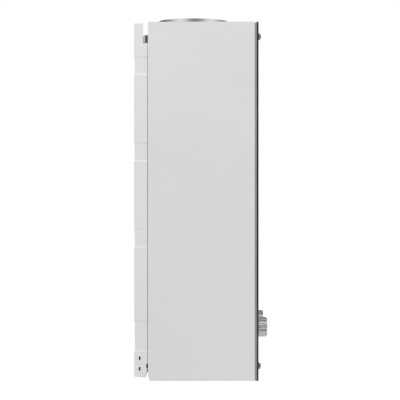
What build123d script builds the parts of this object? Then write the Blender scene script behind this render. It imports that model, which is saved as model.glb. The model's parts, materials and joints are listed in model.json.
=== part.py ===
from build123d import *
import math
import os

# A gas instantaneous water heater with a glass front, hung on a wall.
# Millimetres. X runs to the right as seen from the front, the wall is the
# plane Y = 0, the front is towards -Y and +Z is up. The origin is the middle
# of the four wall holes, at half the casing's height.
# A depth is a distance from the wall, so a point at that depth has Y = -depth.

# Casing and back plate
casing_height = 550.0
casing_width = 330.0
casing_depth = 163.9
casing_sheet = 0.8
casing_bend = 1.2
casing_hem = 8.0
hem_end_drop = 37.0
seam = 0.7
plate_depth = 20.6
plate_sheet = 1.2
plate_top_drop = 2.7
plate_low_rise = 4.1
plate_low_slope = 2.5
plate_lip = 8.0
plate_top_lip = 7.5
notch_drop = 30.3
notch_depth = 13.8
taper_rise = 15.9
taper_depth = 3.1
band_inset = 0.9
band_ramp = 2.0
# Upper and lower edges of the pressed bands, as shares of the casing height
band_high_shares = (0.4033, 0.1649, -0.0744, -0.3325)
band_low_shares = (0.3522, 0.1115, -0.1278, -0.4175)
corner_cut_depth = 2.6
corner_cut_rise = 7.6
wall_hole_radius = 4.5
wall_hole_across = 200.0
wall_hole_height = 490.0
flange_slot_depth = 8.7
flange_slot_length = 5.5
flange_slot_width = 2.6
flange_slot_rises = (35.0, 18.7)
seam_slot_depth = 1.8
seam_slot_rise = 19.4
seam_slot_height = 7.0

# Glass front
backing_thickness = 3.0
backing_inset = 0.4
backing_chamfer = 2.2
backing_round = 1.5
glass_thickness = 2.4
glass_overhang = 0.5
glass_corner = 4.0
screw_inset = 21.3
screw_radius = 2.1
screw_gap = 0.4
screw_length = 10.0
screw_head_radius = 3.8
screw_head_height = 1.6
cap_radius = 5.5
cap_rim = 1.2
cap_shoulder_rise = 1.9
cap_shoulder = 4.2
cap_crown_rise = 1.3
cap_crown = 1.4
cap_sides = 20

# Display behind the glass
window_width = 64.0
window_height = 38.0
window_rise = 155.0
display_gap = 0.5
display_depth = 14.0
display_flange = 6.0
display_wall = 1.6
board_thickness = 1.6
lamp_share = 0.7

# Knobs and spindles
knob_radius = 15.4
knob_length = 15.1
knob_gap = 0.8
knob_face_rise = 1.4
knob_face_inset = 1.3
knob_face_sides = 36
knob_share = 0.272727
valve_rise = 77.8
flute_count = 12
flute_radius = 1.5
flute_share = 0.45
flute_sides = 6
pointer_length = 11.0
pointer_width = 1.4
pointer_depth = 0.5
spindle_radius = 3.0
spindle_hole = 7.0
spindle_grip = 11.0
running_fit = 0.05
close_gap = 0.3

# Flue collar and draught hood
flue_depth = 90.0
collar_radius = 55.0
collar_sheet = 0.8
collar_rise = 16.2
collar_flange = 5.0
collar_gap = 2.5
hood_drop = 11.0
hood_share = 0.16727
hood_skirt = 32.0
hood_sheet = 1.0
hood_top_width = 140.0
hood_top_depth = 122.0
relief_share = 0.7143
relief_height = 15.0
relief_rise = 6.0

# Heat exchanger, combustion chamber and pipes
core_side_gap = 60.0
core_share = 0.610128
exchanger_share = 0.10909
end_plate = 2.0
fin_count = 18
fin_thickness = 1.6
fin_top_cut = 15.0
fin_low_cut = 20.0
flange_lip = 5.0
flange_sheet = 1.5
chamber_sheet = 1.0
chamber_round = 10.0
pipe_radius = 7.0
tube_pitch_share = 0.2
tube_count = 5
tube_reach = 12.0
tube_bend_share = 0.45
bend_radius = 14.0
tight_bend = 11.0
wide_bend = 24.0
coil_start_share = 0.375
coil_climb_share = 0.0833
riser_depth = 70.0
side_pipe_gap = 4.0
cross_drop = 16.0
pipe_sides = 8
hex_sides = 6
bend_shares = (0.0, 0.34, 0.66, 1.0)
nut_radius = 12.0
nut_length = 13.0
nut_gap = 0.1

# Burner and gas supply
burner_gap_share = 0.09818
burner_share = 0.14545
burner_side_gap = 2.0
burner_sheet = 1.2
blade_count = 11
blade_pitch_share = 0.0838
blade_rise = 14.0
blade_drop = 2.0
blade_port_width = 7.0
blade_neck_width = 3.0
blade_base_width = 10.0
neck_low_share = 0.34
neck_high_share = 0.58
blade_margin = 6.0
rail_width = 8.0
manifold_thickness = 16.0
manifold_height = 18.0
manifold_rise = 12.0
manifold_round = 3.0
nozzle_radius = 3.0
nozzle_length = 6.0
nozzle_bore = 1.0
gas_pipe_radius = 6.0
gas_turn_share = 0.28

# Electrodes and sensors
electrode_across = 24.0
electrode_rise = 14.0
ceramic_radius = 3.6
ceramic_length = 24.0
electrode_plate = 16.0
wire_radius = 0.9
wire_length = 22.0
sensor_radius = 7.5
disc_sides = 12
sensor_length = 9.0
sensor_tab = 4.0
thermostat_share = 0.2857
spill_share = 0.4381

# Valves
valve_depth = 95.0
valve_rear = 46.0
valve_front = 120.0
spindle_boss = 16.0
boss_radius = 12.5
gas_block_width = 56.0
gas_block_high = 31.2
gas_block_low = 26.8
gas_bore_end = 10.0
tappet_boss_length = 12.0
tappet_boss_radius = 8.0
outlet_boss_height = 6.0
outlet_boss_radius = 10.0
gas_outlet_depth = 104.0
gas_outlet_shift = 6.0
block_round = 5.0
solenoid_radius = 13.0
solenoid_share = 0.097
solenoid_cap = 4.0
governor_radius = 8.0
governor_height = 5.0
governor_drop = 14.0
governor_shift = 17.0
water_block_left = 24.0
water_block_right = 34.0
water_block_high = 23.2
water_block_low = 24.8
disc_radius = 33.0
disc_thickness = 20.0
diaphragm_thickness = 2.0
cover_flange = 4.0
cover_dome = 14.0
cover_dome_radius = 16.0
cover_nose = 8.0
cover_nose_radius = 7.0
cover_screw_circle = 28.0
cover_screw_seat = 4.5
cover_screw_count = 4
cover_screw_head = 3.4
rod_radius = 2.0
rod_travel = 3.0
rod_in_tappet = 6.0
rod_in_cover = 8.0
rod_collar_radius = 5.0
rod_collar_width = 4.0

# Microswitch
strap_sheet = 1.2
strap_width = 14.0
strap_seat = 8.0
strap_share = 0.3222
switch_width = 24.0
switch_thickness = 10.0
switch_height = 12.0
switch_inset = 2.0
ear_width = 8.0
ear_drop = 6.0
ear_sheet = 1.5
lever_inset = 11.0
lever_drop = 3.0
lever_sheet = 0.8
lever_width = 4.0
lever_hub = 1.5
lever_pin = 0.8
lever_end_gap = 0.8

# Pipe fittings, G 1/2 outside threads
thread_radius = 10.48
thread_end_drop = 6.0
thread_bore = 7.5
thread_bore_depth = 24.0
fitting_depth = 62.0
hex_radius = 15.0
hex_height = 10.0
neck_radius = 9.0
hot_neck_top = 18.0
bracket_rise = 13.0
bracket_sheet = 1.6
bracket_inset = 15.0
bracket_leg = 24.0
bracket_hole_gap = 1.0
fitting_slot = 18.0
drain_shift = 14.0
drain_depth = 107.0
drain_stem = 4.0
drain_grip = 11.0
drain_shaft = 5.0
drain_head = 6.7
drain_head_height = 14.0
drain_drop = 1.0
drain_hole = 9.0
drain_sides = 10

# Battery box
battery_place_share = 0.559006
battery_wall = 1.5
battery_width = 74.0
battery_depth = 76.0
battery_height = 39.5
cell_radius = 17.0
cell_sides = 16
cell_length = 61.5
cell_tip_radius = 4.5
cell_tip = 1.5
cell_gap = 1.0
lid_sheet = 2.0
lid_hinge_depth = 5.5
lid_hinge_rise = 2.8
lid_barrel = 1.8
lid_pin = 1.0
lid_grip_width = 20.0
lid_grip_depth = 3.0
lid_grip_drop = 0.8
lid_rib_count = 4
rib_front_share = 0.8
contact_sheet = 0.5
contact_width = 26.0
contact_height = 24.0
casing_window_gap = 2.0

# Brackets, screws and controller
hat_sheet = 1.5
hat_foot = 14.0
hat_half = 14.0
chamber_bracket_share = 0.2857
chamber_bracket_half_share = 0.0509
hood_bracket_half = 26.0
hood_bracket_height = 12.0
case_bracket_inset = 27.0
case_bracket_width = 16.0
case_bracket_rear = 38.0
case_bracket_foot = 17.0
case_screw_radius = 2.0
case_screw_head = 4.8
case_screw_head_height = 1.8
case_screw_length = 7.0
hook_sheet = 1.5
hook_drop = 20.6
hook_height = 11.5
hook_gap = 0.5
hook_reach = 24.0
controller_side_gap = 9.5
controller_width = 30.0
controller_depth = 82.0
controller_height = 66.0
controller_round = 3.0
terminal_width = 6.0
terminal_height = 9.0
terminal_depth = 5.0
terminal_pitch = 14.0
terminal_count = 4

# Air slots in the casing's bottom
vent_length = 36.0
vent_width = 5.0
vent_pitch = 11.0
vent_rows = 4
vent_front_gap = 14.0
vent_shares = (0.2121, 0.3697)

# Leads
lead_radius = 1.6
lead_sides = 4
lead_run_share = 0.45
lead_exits = (15.8, 17.8, 25.8, 23.8)
ignition_end_share = 0.410959
sensor_end_share = 0.376712
solenoid_lead_share = 0.625
solenoid_lead_rise = 14.2
battery_lead_across = 20.0
battery_lead_depth = 55.0
battery_lead_rise = 15.5
# Where each lead goes between its ends: shares of half the casing's width, of
# the depth of its front and of its height
ignition_route_shares = (
    (0.7758, 0.7883, -0.1745),
    (0.6061, 0.8963, -0.1309),
    (0.3758, 0.9071, -0.0764),
    (0.2182, 0.9395, -0.0436),
)
sensor_route_shares = (
    (0.7394, 0.8380, -0.1891),
    (0.6303, 0.9017, -0.1400),
    (0.3152, 0.8990, -0.1055),
    (0.0606, 0.9071, -0.0655),
    (-0.0848, 0.9287, -0.0400),
)
solenoid_route_shares = (
    (-0.7879, 0.6371, -0.2873),
    (-0.6303, 0.7883, -0.2745),
    (-0.3636, 0.8639, -0.2691),
    (-0.0606, 0.8909, -0.2655),
    (0.2424, 0.8639, -0.2600),
    (0.5212, 0.7883, -0.2545),
    (0.7152, 0.6695, -0.2473),
)
battery_route_shares = (
    (0.2061, 0.8480, -0.3636),
    (0.3758, 0.8480, -0.3291),
    (0.5818, 0.7775, -0.3036),
    (0.7394, 0.6695, -0.2836),
)

overrun = 5.0

# Widths
core_width = casing_width - 2 * core_side_gap
knob_across = casing_width * knob_share
burner_width = core_width - 2 * burner_side_gap
blade_pitch = core_width * blade_pitch_share
solenoid_length = casing_width * solenoid_share
water_block_inner = knob_across - water_block_left
water_block_outer = knob_across + water_block_right
strap_length = 2 * knob_across * strap_share
bracket_half = casing_width / 2 - bracket_inset
drain_across = knob_across + drain_shift
chamber_bracket_across = core_width * chamber_bracket_share
case_bracket_across = casing_width / 2 - case_bracket_inset
controller_inner = casing_width / 2 - controller_side_gap - controller_width
thermostat_across = core_width * thermostat_share
spill_across = core_width * spill_share
relief_width = core_width * relief_share
vent_across = [casing_width * share for share in vent_shares]

# Heights
hood_height = casing_height * hood_share
exchanger_height = casing_height * exchanger_share
burner_gap = casing_height * burner_gap_share
burner_height = casing_height * burner_share
chamber_bracket_half = casing_height * chamber_bracket_half_share
casing_top = casing_height / 2
casing_low = -casing_height / 2
plate_top = casing_top - plate_top_drop
plate_low = casing_low + plate_low_rise
valve_axis = casing_low + valve_rise
gas_block_top = valve_axis + gas_block_high
gas_block_base = valve_axis - gas_block_low
water_block_top = valve_axis + water_block_high
water_block_base = valve_axis - water_block_low
hood_top = casing_top - hood_drop
hood_low = hood_top - hood_height
exchanger_low = hood_low - exchanger_height
tube_height = (hood_low + exchanger_low) / 2
burner_low = gas_block_top + burner_gap
chamber_low = burner_low + burner_height
chamber_height = exchanger_low - chamber_low
coil_climb = chamber_height * coil_climb_share
collar_top = casing_top + collar_rise
bracket_top = casing_low + bracket_rise + bracket_sheet
thread_end = casing_low - thread_end_drop

# Depths
casing_rear = plate_depth + seam
casing_front = casing_rear + casing_depth
glass_rear = casing_front + backing_thickness
glass_front = glass_rear + glass_thickness
knob_rear = glass_front + knob_gap
knob_front = knob_rear + knob_length
core_thickness = casing_depth * core_share
tube_pitch = core_thickness * tube_pitch_share
tube_bend = tube_pitch * tube_bend_share
core_rear = flue_depth - core_thickness / 2
core_front = flue_depth + core_thickness / 2
fitting_front = fitting_depth + hex_radius
battery_rear = fitting_front + (casing_front - battery_depth - fitting_front) * battery_place_share
plate_half = casing_width / 2 - casing_sheet


def middle(span):
    return (span[0] + span[1]) / 2


def reach(span):
    return abs(span[1] - span[0])


def block(across, depths, heights, mode=Mode.ADD):
    """A box between two places across, two depths and two heights."""
    with Locations((middle(across), -middle(depths), middle(heights))):
        return Box(reach(across), reach(depths), reach(heights), mode=mode)


def rod_across(span, depth, height, radius, mode=Mode.ADD):
    """A round bar from side to side."""
    with Locations(Location((middle(span), -depth, height), (0, 90, 0))):
        return Cylinder(radius, reach(span), mode=mode)


def rod_forward(across, span, height, radius, mode=Mode.ADD):
    """A round bar from the wall towards the front."""
    with Locations(Location((across, -middle(span), height), (90, 0, 0))):
        return Cylinder(radius, reach(span), mode=mode)


def rod_upright(across, depth, span, radius, mode=Mode.ADD):
    """A round bar that stands upright."""
    with Locations((across, -depth, middle(span))):
        return Cylinder(radius, reach(span), mode=mode)


def bar(plane, length, radius, sides, mode=Mode.ADD):
    """A bar or hole with flat sides, each at the radius, that starts on the plane."""
    with BuildSketch(plane) as section:
        RegularPolygon(radius, sides, major_radius=False)
    extrude(section.sketch, amount=length, mode=mode)


def facing(across, depth, height):
    """A plane that faces the front, with its X to the right and its Y up."""
    return Plane(origin=(across, -depth, height), x_dir=(1, 0, 0), z_dir=(0, -1, 0))


def outwards(across, depth, height, way=1):
    """A plane whose normal points right (way 1) or left (way -1) and whose Y is up."""
    return Plane(origin=(across, -depth, height), x_dir=(0, way, 0), z_dir=(way, 0, 0))


def turning(across, depth, height):
    """A plane to turn a profile in, with its X to the right and its Y to the front."""
    return Plane(origin=(across, -depth, height), x_dir=(1, 0, 0), z_dir=(0, 0, -1))


def tube(points, bends, radius):
    """A pipe with flat sides whose bends are worked out as short straight lengths."""
    route_points = [(across, -depth, height) for across, depth, height in points]
    with BuildLine() as arcs:
        FilletPolyline(*route_points, radius=bends)
    knots = [arcs.line @ 0]
    for edge in arcs.wires()[0].order_edges():
        if edge.geom_type == GeomType.CIRCLE:
            knots += [edge @ share for share in bend_shares]
    knots += [arcs.line @ 1]
    with BuildPart() as made:
        with BuildLine() as route:
            Polyline(*knots)
        with BuildSketch(Plane(origin=route.line @ 0, z_dir=route.line % 0)):
            RegularPolygon(radius, pipe_sides)
        sweep(path=route.line, transition=Transition.RIGHT)
    return made


def lead_bends(points):
    """Arc radii that fit a lead's runs, one for each turn."""
    places = [Vector(*point) for point in points]
    radii = []
    for before, here, after in zip(places, places[1:], places[2:]):
        half_turn = math.radians((here - before).get_angle(after - here)) / 2
        shorter = min((here - before).length, (after - here).length)
        radii.append(lead_run_share * shorter / math.tan(half_turn))
    return radii


def lead(points, name):
    """A lead with flat sides along straight runs joined by tangent arcs."""
    radii = lead_bends(points)
    print(name, "bend radii", [round(radius, 1) for radius in radii])
    route_points = [(across, -depth, height) for across, depth, height in points]
    with BuildPart() as made:
        with BuildLine() as route:
            FilletPolyline(*route_points, radius=radii)
        with BuildSketch(Plane(origin=route.line @ 0, z_dir=route.line % 0)):
            RegularPolygon(lead_radius, lead_sides)
        sweep(path=route.line)
    return made


os.makedirs("parts", exist_ok=True)


def finish(piece, name):
    """Labels a finished piece and writes it."""
    piece.part.label = name
    export_step(piece.part, f"parts/{name}.step")


# Back plate: a pressed pan whose bands run round its back and both flanges
def banded_edge(flat, sunk):
    """Places and heights down an edge that the bands press in."""
    points = []
    for high_share, low_share in zip(band_high_shares, band_low_shares):
        high = high_share * casing_height
        low = low_share * casing_height
        points += [(flat, high), (sunk, high - band_ramp)]
        points += [(sunk, low + band_ramp), (flat, low)]
    return points


def pan_block(rear, half, top, low, front_cut):
    """The solid space inside one skin of the pan, before its front is shaped."""
    rear_edge = [(rear, top)] + banded_edge(rear, rear + band_inset)
    rear_edge += [(rear, low + plate_low_slope), (front_cut, low)]
    side_edge = [(half, top)] + banded_edge(half, half - band_inset) + [(half, low)]
    right = [(across, height) for across, height in side_edge]
    left = [(-across, height) for across, height in reversed(side_edge)]
    with BuildPart() as made:
        with BuildSketch(Plane.YZ):
            with BuildLine():
                outline = [(-depth, height) for depth, height in rear_edge]
                Polyline(*outline, (-front_cut, top), close=True)
            make_face()
        extrude(amount=casing_width, both=True)
        with BuildSketch(Plane.XZ):
            with BuildLine():
                Polyline(*right, *left, close=True)
            make_face()
        extrude(amount=casing_width, both=True, mode=Mode.INTERSECT)
    return made


notch_height = plate_top - notch_drop
taper_height = plate_low + taper_rise
pan_outside = pan_block(0, plate_half, plate_top, plate_low, plate_depth)
pan_inside = pan_block(
    plate_sheet,
    plate_half - plate_sheet,
    plate_top - plate_sheet,
    plate_low + plate_sheet,
    plate_depth - plate_sheet,
)
with BuildPart() as back_plate:
    add(pan_outside.part)
    add(pan_inside.part, mode=Mode.SUBTRACT)
    # The front between the lips is open, and so is all of it below the taper
    lip_half = plate_half - plate_lip
    front_skin = (plate_depth - plate_sheet - seam, plate_depth + overrun)
    below_pan = plate_low - overrun
    block((-lip_half, lip_half), front_skin, (below_pan, plate_top + overrun), Mode.SUBTRACT)
    inner_half = plate_half - plate_sheet
    block((-inner_half, inner_half), front_skin, (below_pan, taper_height), Mode.SUBTRACT)
    # The top flange is short
    block(
        (-inner_half, inner_half),
        (plate_top_lip, plate_depth + overrun),
        (plate_top - plate_sheet - overrun, plate_top + overrun),
        Mode.SUBTRACT,
    )
    # The flanges stand back at the top and taper back at the bottom
    block(
        (-casing_width, casing_width),
        (notch_depth, plate_depth + overrun),
        (notch_height, plate_top + overrun),
        Mode.SUBTRACT,
    )
    with BuildSketch(Plane.YZ):
        with BuildLine():
            Polyline(
                (-plate_depth, taper_height),
                (-plate_depth + taper_depth, plate_low),
                (-plate_depth + taper_depth, below_pan),
                (-plate_depth - overrun, below_pan),
                (-plate_depth - overrun, taper_height),
                close=True,
            )
        make_face()
    extrude(amount=casing_width, both=True, mode=Mode.SUBTRACT)
    with BuildSketch(Plane.YZ):
        for slot_rise in flange_slot_rises:
            with Locations((-flange_slot_depth, casing_low + slot_rise)):
                Rectangle(flange_slot_width, flange_slot_length)
    extrude(amount=casing_width, both=True, mode=Mode.SUBTRACT)
    block(
        (-casing_width, casing_width),
        (plate_depth - seam_slot_depth, plate_depth + overrun),
        (casing_low + seam_slot_rise, casing_low + seam_slot_rise + seam_slot_height),
        Mode.SUBTRACT,
    )
    with BuildSketch(Plane.XZ):
        with GridLocations(wall_hole_across, wall_hole_height, 2, 2):
            Circle(wall_hole_radius)
    extrude(amount=plate_depth, both=True, mode=Mode.SUBTRACT)
finish(back_plate, "back_plate")

# Casing: one bent sheet cover, open at the back
screw_places = [
    (side * (casing_width / 2 - screw_inset), end * (casing_height / 2 - screw_inset))
    for side in (-1, 1)
    for end in (-1, 1)
]
battery_front = battery_rear + battery_depth


def front_openings(depth):
    """Cuts the openings that the casing, the backing and the glass share."""
    for side in (-1, 1):
        start = facing(side * knob_across, depth - overrun, valve_axis)
        bar(start, 2 * overrun, spindle_hole, pipe_sides, Mode.SUBTRACT)
    for across, height in screw_places:
        start = facing(across, depth - overrun, height)
        bar(start, 2 * overrun, screw_radius + screw_gap, hex_sides, Mode.SUBTRACT)


window_centre = casing_low + window_rise
window_span = (window_centre - window_height / 2, window_centre + window_height / 2)
with BuildPart() as casing_inside:
    block(
        (casing_sheet - casing_width / 2, casing_width / 2 - casing_sheet),
        (casing_rear - overrun, casing_front - casing_sheet),
        (casing_low + casing_sheet, casing_top - casing_sheet),
    )
    chamfer(casing_inside.faces().sort_by(Axis.Y)[0].edges(), casing_bend - casing_sheet)
with BuildPart() as casing:
    block(
        (-casing_width / 2, casing_width / 2),
        (casing_rear, casing_front),
        (casing_low, casing_top),
    )
    # The sheet is bent along the front's four edges and meets at the corners behind them
    fillet(casing.faces().sort_by(Axis.Y)[0].edges(), casing_bend)
    add(casing_inside.part, mode=Mode.SUBTRACT)
    # Hems turned in along the back edges
    for side in (-1, 1):
        block(
            (side * plate_half, side * (plate_half - casing_hem)),
            (casing_rear, casing_rear + casing_sheet),
            (casing_low + hem_end_drop, casing_top - hem_end_drop),
        )
    # Cut-back corners at the bottom of the back edges
    with BuildSketch(Plane.YZ):
        with BuildLine():
            Polyline(
                (-casing_rear, casing_low + corner_cut_rise),
                (-casing_rear - corner_cut_depth, casing_low),
                (-casing_rear - corner_cut_depth, casing_low - overrun),
                (-casing_rear + overrun, casing_low - overrun),
                (-casing_rear + overrun, casing_low + corner_cut_rise),
                close=True,
            )
        make_face()
    extrude(amount=casing_width, both=True, mode=Mode.SUBTRACT)
    # The collar's hole in the top
    rod_upright(
        0,
        flue_depth,
        (casing_top - overrun, casing_top + overrun),
        collar_radius + collar_gap,
        Mode.SUBTRACT,
    )
    # Holes in the front for the spindles, the glass screws and the display
    front_cut = (casing_front - overrun, casing_front + overrun)
    front_openings(casing_front)
    block((-window_width / 2, window_width / 2), front_cut, window_span, Mode.SUBTRACT)
    # Slots in the bottom, open to the back, so that the cover slides off the pipes
    floor_cut = (casing_low - overrun, casing_low + overrun)
    for across in (-knob_across, 0, knob_across):
        block(
            (across - fitting_slot, across + fitting_slot),
            (0, fitting_depth),
            floor_cut,
            Mode.SUBTRACT,
        )
        rod_upright(across, fitting_depth, floor_cut, fitting_slot, Mode.SUBTRACT)
    block(
        (-battery_width / 2 - casing_window_gap, battery_width / 2 + casing_window_gap),
        (battery_rear - casing_window_gap, battery_front + casing_window_gap),
        floor_cut,
        Mode.SUBTRACT,
    )
    drain_start = Plane(origin=(drain_across, -drain_depth, casing_low - overrun))
    bar(drain_start, 2 * overrun, drain_hole, pipe_sides, Mode.SUBTRACT)
    for side in (-1, 1):
        start = Plane(
            origin=(
                side * case_bracket_across,
                -case_bracket_rear - case_bracket_foot * 2,
                casing_low - overrun,
            )
        )
        bar(start, 2 * overrun, case_screw_radius + screw_gap, hex_sides, Mode.SUBTRACT)
    # Rows of air slots in the front half of the bottom
    vent_places = [
        (side * across, -(casing_front - vent_front_gap - row * vent_pitch))
        for side in (-1, 1)
        for across in vent_across
        for row in range(vent_rows)
    ]
    with BuildSketch(Plane.XY.offset(casing_low - overrun)):
        with Locations(*vent_places):
            Rectangle(vent_length, vent_width)
    extrude(amount=2 * overrun, mode=Mode.SUBTRACT)
finish(casing, "casing")

# Backing panel behind the glass
with BuildPart() as backing_panel:
    backing_half = casing_width / 2 - backing_inset
    block((-backing_half, backing_half), (casing_front, glass_rear), (casing_low, casing_top))
    rear_edges = backing_panel.faces().sort_by(Axis.Y)[-1].edges()
    chamfer(rear_edges.sort_by(Axis.Z)[-1], backing_chamfer)
    rear_edges = backing_panel.faces().sort_by(Axis.Y)[-1].edges()
    fillet(rear_edges.sort_by(Axis.Z)[0], backing_round)
    backing_cut = (casing_front - overrun, glass_rear + overrun)
    front_openings(glass_rear)
    block((-window_width / 2, window_width / 2), backing_cut, window_span, Mode.SUBTRACT)
finish(backing_panel, "backing_panel")

# Glass front
with BuildPart() as glass_panel:
    glass_half = casing_width / 2 + glass_overhang
    glass_high = casing_height / 2 + glass_overhang
    block((-glass_half, glass_half), (glass_rear, glass_front), (-glass_high, glass_high))
    fillet(glass_panel.edges().filter_by(Axis.Y), glass_corner)
    front_openings(glass_front)
finish(glass_panel, "glass_panel")

# Glass screws, and the domed caps that hide their heads
with BuildPart() as glass_screws:
    for across, height in screw_places:
        bar(facing(across, glass_front - screw_length, height), screw_length, screw_radius, hex_sides)
        bar(facing(across, glass_front, height), screw_head_height, screw_head_radius, hex_sides)
finish(glass_screws, "glass_screws")

# Screw caps: an upright rim under a dome in two steeper and flatter rises
cap_steps = (
    (cap_radius, cap_radius, cap_rim),
    (cap_radius, cap_shoulder, cap_shoulder_rise),
    (cap_shoulder, cap_crown, cap_crown_rise),
)
with BuildPart() as screw_caps:
    for across, height in screw_places:
        rise = glass_front
        for low, high, step in cap_steps:
            with BuildSketch(facing(across, rise, height)):
                RegularPolygon(low, cap_sides)
            extrude(amount=step, taper=math.degrees(math.atan2(low - high, step)))
            rise += step
        bar(
            facing(across, glass_front - overrun, height),
            overrun + screw_head_height + close_gap,
            screw_head_radius + screw_gap,
            hex_sides,
            Mode.SUBTRACT,
        )
finish(screw_caps, "screw_caps")

# Display housing and its board
display_half = window_width / 2 - display_gap
display_tall = window_height / 2 - display_gap
display_rear = glass_rear - display_depth
with BuildPart() as display_housing:
    display_span = (window_centre - display_tall, window_centre + display_tall)
    block((-display_half, display_half), (display_rear, glass_rear), display_span)
    block(
        (-display_half - display_flange, display_half + display_flange),
        (casing_front - casing_sheet - display_wall, casing_front - casing_sheet),
        (display_span[0] - display_flange, display_span[1] + display_flange),
    )
    block(
        (-display_half + display_wall, display_half - display_wall),
        (display_rear - overrun, glass_rear - display_wall),
        (display_span[0] + display_wall, display_span[1] - display_wall),
        Mode.SUBTRACT,
    )
finish(display_housing, "display_housing")

with BuildPart() as display_board:
    board_half = display_half - display_wall - close_gap
    board_tall = display_tall - display_wall - close_gap
    board_span = (window_centre - board_tall, window_centre + board_tall)
    block((-board_half, board_half), (display_rear, display_rear + board_thickness), board_span)
    # The lamp block that shines through the glass
    block(
        (-board_half * lamp_share, board_half * lamp_share),
        (display_rear + board_thickness, glass_rear - display_wall),
        (
            window_centre - board_tall * lamp_share,
            window_centre + board_tall * lamp_share,
        ),
    )
finish(display_board, "display_board")


# Knobs: a fluted grip with a smaller raised face and a pointer groove
def knob(across):
    """One knob that stands in front of the glass."""
    grip_front = knob_front - knob_face_rise
    flute_circle = knob_radius + flute_radius * (1 - flute_share)
    with BuildPart() as made:
        with BuildSketch(facing(across, knob_rear, valve_axis)):
            Circle(knob_radius)
            with PolarLocations(flute_circle, flute_count, start_angle=180 / flute_count):
                RegularPolygon(flute_radius, flute_sides, mode=Mode.SUBTRACT)
        extrude(amount=grip_front - knob_rear)
        bar(
            facing(across, grip_front, valve_axis),
            knob_face_rise,
            knob_radius - knob_face_inset,
            knob_face_sides,
        )
        block(
            (across - pointer_width / 2, across + pointer_width / 2),
            (knob_front - pointer_depth, knob_front + overrun),
            (valve_axis + knob_radius - pointer_length, valve_axis + knob_radius + overrun),
            Mode.SUBTRACT,
        )
        bar(
            facing(across, knob_rear - overrun, valve_axis),
            overrun + spindle_grip + close_gap,
            spindle_radius + running_fit,
            pipe_sides,
            Mode.SUBTRACT,
        )
    return made


gas_knob = knob(-knob_across)
finish(gas_knob, "gas_knob")
water_knob = knob(knob_across)
finish(water_knob, "water_knob")


def spindle(across):
    with BuildPart() as made:
        rod_forward(
            across,
            (valve_front - gas_bore_end, knob_rear + spindle_grip),
            valve_axis,
            spindle_radius,
        )
    return made


gas_spindle = spindle(-knob_across)
finish(gas_spindle, "gas_spindle")
water_spindle = spindle(knob_across)
finish(water_spindle, "water_spindle")

# Flue collar: a thin spigot with a square flange that lies on the hood
with BuildPart() as flue_collar:
    rod_upright(0, flue_depth, (hood_top, collar_top), collar_radius)
    block(
        (-collar_radius - collar_flange, collar_radius + collar_flange),
        (flue_depth - collar_radius - collar_flange, flue_depth + collar_radius + collar_flange),
        (hood_top, hood_top + collar_sheet),
    )
    rod_upright(
        0,
        flue_depth,
        (hood_top - overrun, collar_top + overrun),
        collar_radius - collar_sheet,
        Mode.SUBTRACT,
    )
finish(flue_collar, "flue_collar")


# Draught hood: a skirt that narrows to the collar's seat
def hood_body(inset, low, top):
    """The solid space inside one skin of the hood, where its two outlines cross."""
    skirt_top = hood_low + hood_skirt
    front_outline = (Plane.XZ, 0, core_width + flange_lip, hood_top_width, Mode.ADD)
    side_outline = (
        Plane.YZ,
        -flue_depth,
        core_thickness + flange_lip,
        hood_top_depth,
        Mode.INTERSECT,
    )
    with BuildPart() as made:
        for plane, centre, skirt, seat, mode in (front_outline, side_outline):
            wide = skirt / 2 - inset
            narrow = seat / 2 - inset
            with BuildSketch(plane):
                with BuildLine():
                    Polyline(
                        (centre - wide, low),
                        (centre + wide, low),
                        (centre + wide, skirt_top),
                        (centre + narrow, top),
                        (centre - narrow, top),
                        (centre - wide, skirt_top),
                        close=True,
                    )
                make_face()
            extrude(amount=casing_width, both=True, mode=mode)
    return made


hood_outside = hood_body(0, hood_low, hood_top)
hood_inside = hood_body(hood_sheet, hood_low - overrun, hood_top - hood_sheet)
with BuildPart() as draught_hood:
    add(hood_outside.part)
    add(hood_inside.part, mode=Mode.SUBTRACT)
    rod_upright(
        0,
        flue_depth,
        (hood_top - overrun, hood_top + overrun),
        collar_radius - collar_sheet,
        Mode.SUBTRACT,
    )
    # Relief slots that let room air in, front and back
    relief_low = hood_low + relief_rise
    block(
        (-relief_width / 2, relief_width / 2),
        (core_rear - collar_radius, core_front + collar_radius),
        (relief_low, relief_low + relief_height),
        Mode.SUBTRACT,
    )
finish(draught_hood, "draught_hood")


# Hat-shaped brackets between the back plate and what stands before it
def hat(centre, half, front, heights):
    """Adds one bent strap whose feet lie on the back plate."""
    with BuildSketch(Plane.XY.offset(heights[0])) as profile:
        with BuildLine():
            inner = half - hat_sheet
            foot = half + hat_foot
            rear = plate_sheet
            outer_points = [
                (centre - foot, -rear),
                (centre - foot, -rear - hat_sheet),
                (centre - half, -rear - hat_sheet),
                (centre - half, -front),
                (centre + half, -front),
                (centre + half, -rear - hat_sheet),
                (centre + foot, -rear - hat_sheet),
                (centre + foot, -rear),
            ]
            inner_points = [
                (centre + inner, -rear),
                (centre + inner, -front + hat_sheet),
                (centre - inner, -front + hat_sheet),
                (centre - inner, -rear),
            ]
            Polyline(*outer_points, *inner_points, close=True)
        make_face()
    extrude(profile.sketch, amount=reach(heights))


with BuildPart() as hood_bracket:
    hat(
        0,
        hood_bracket_half,
        core_rear,
        (hood_low - hood_bracket_height - flange_sheet, hood_low - flange_sheet),
    )
finish(hood_bracket, "hood_bracket")

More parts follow.
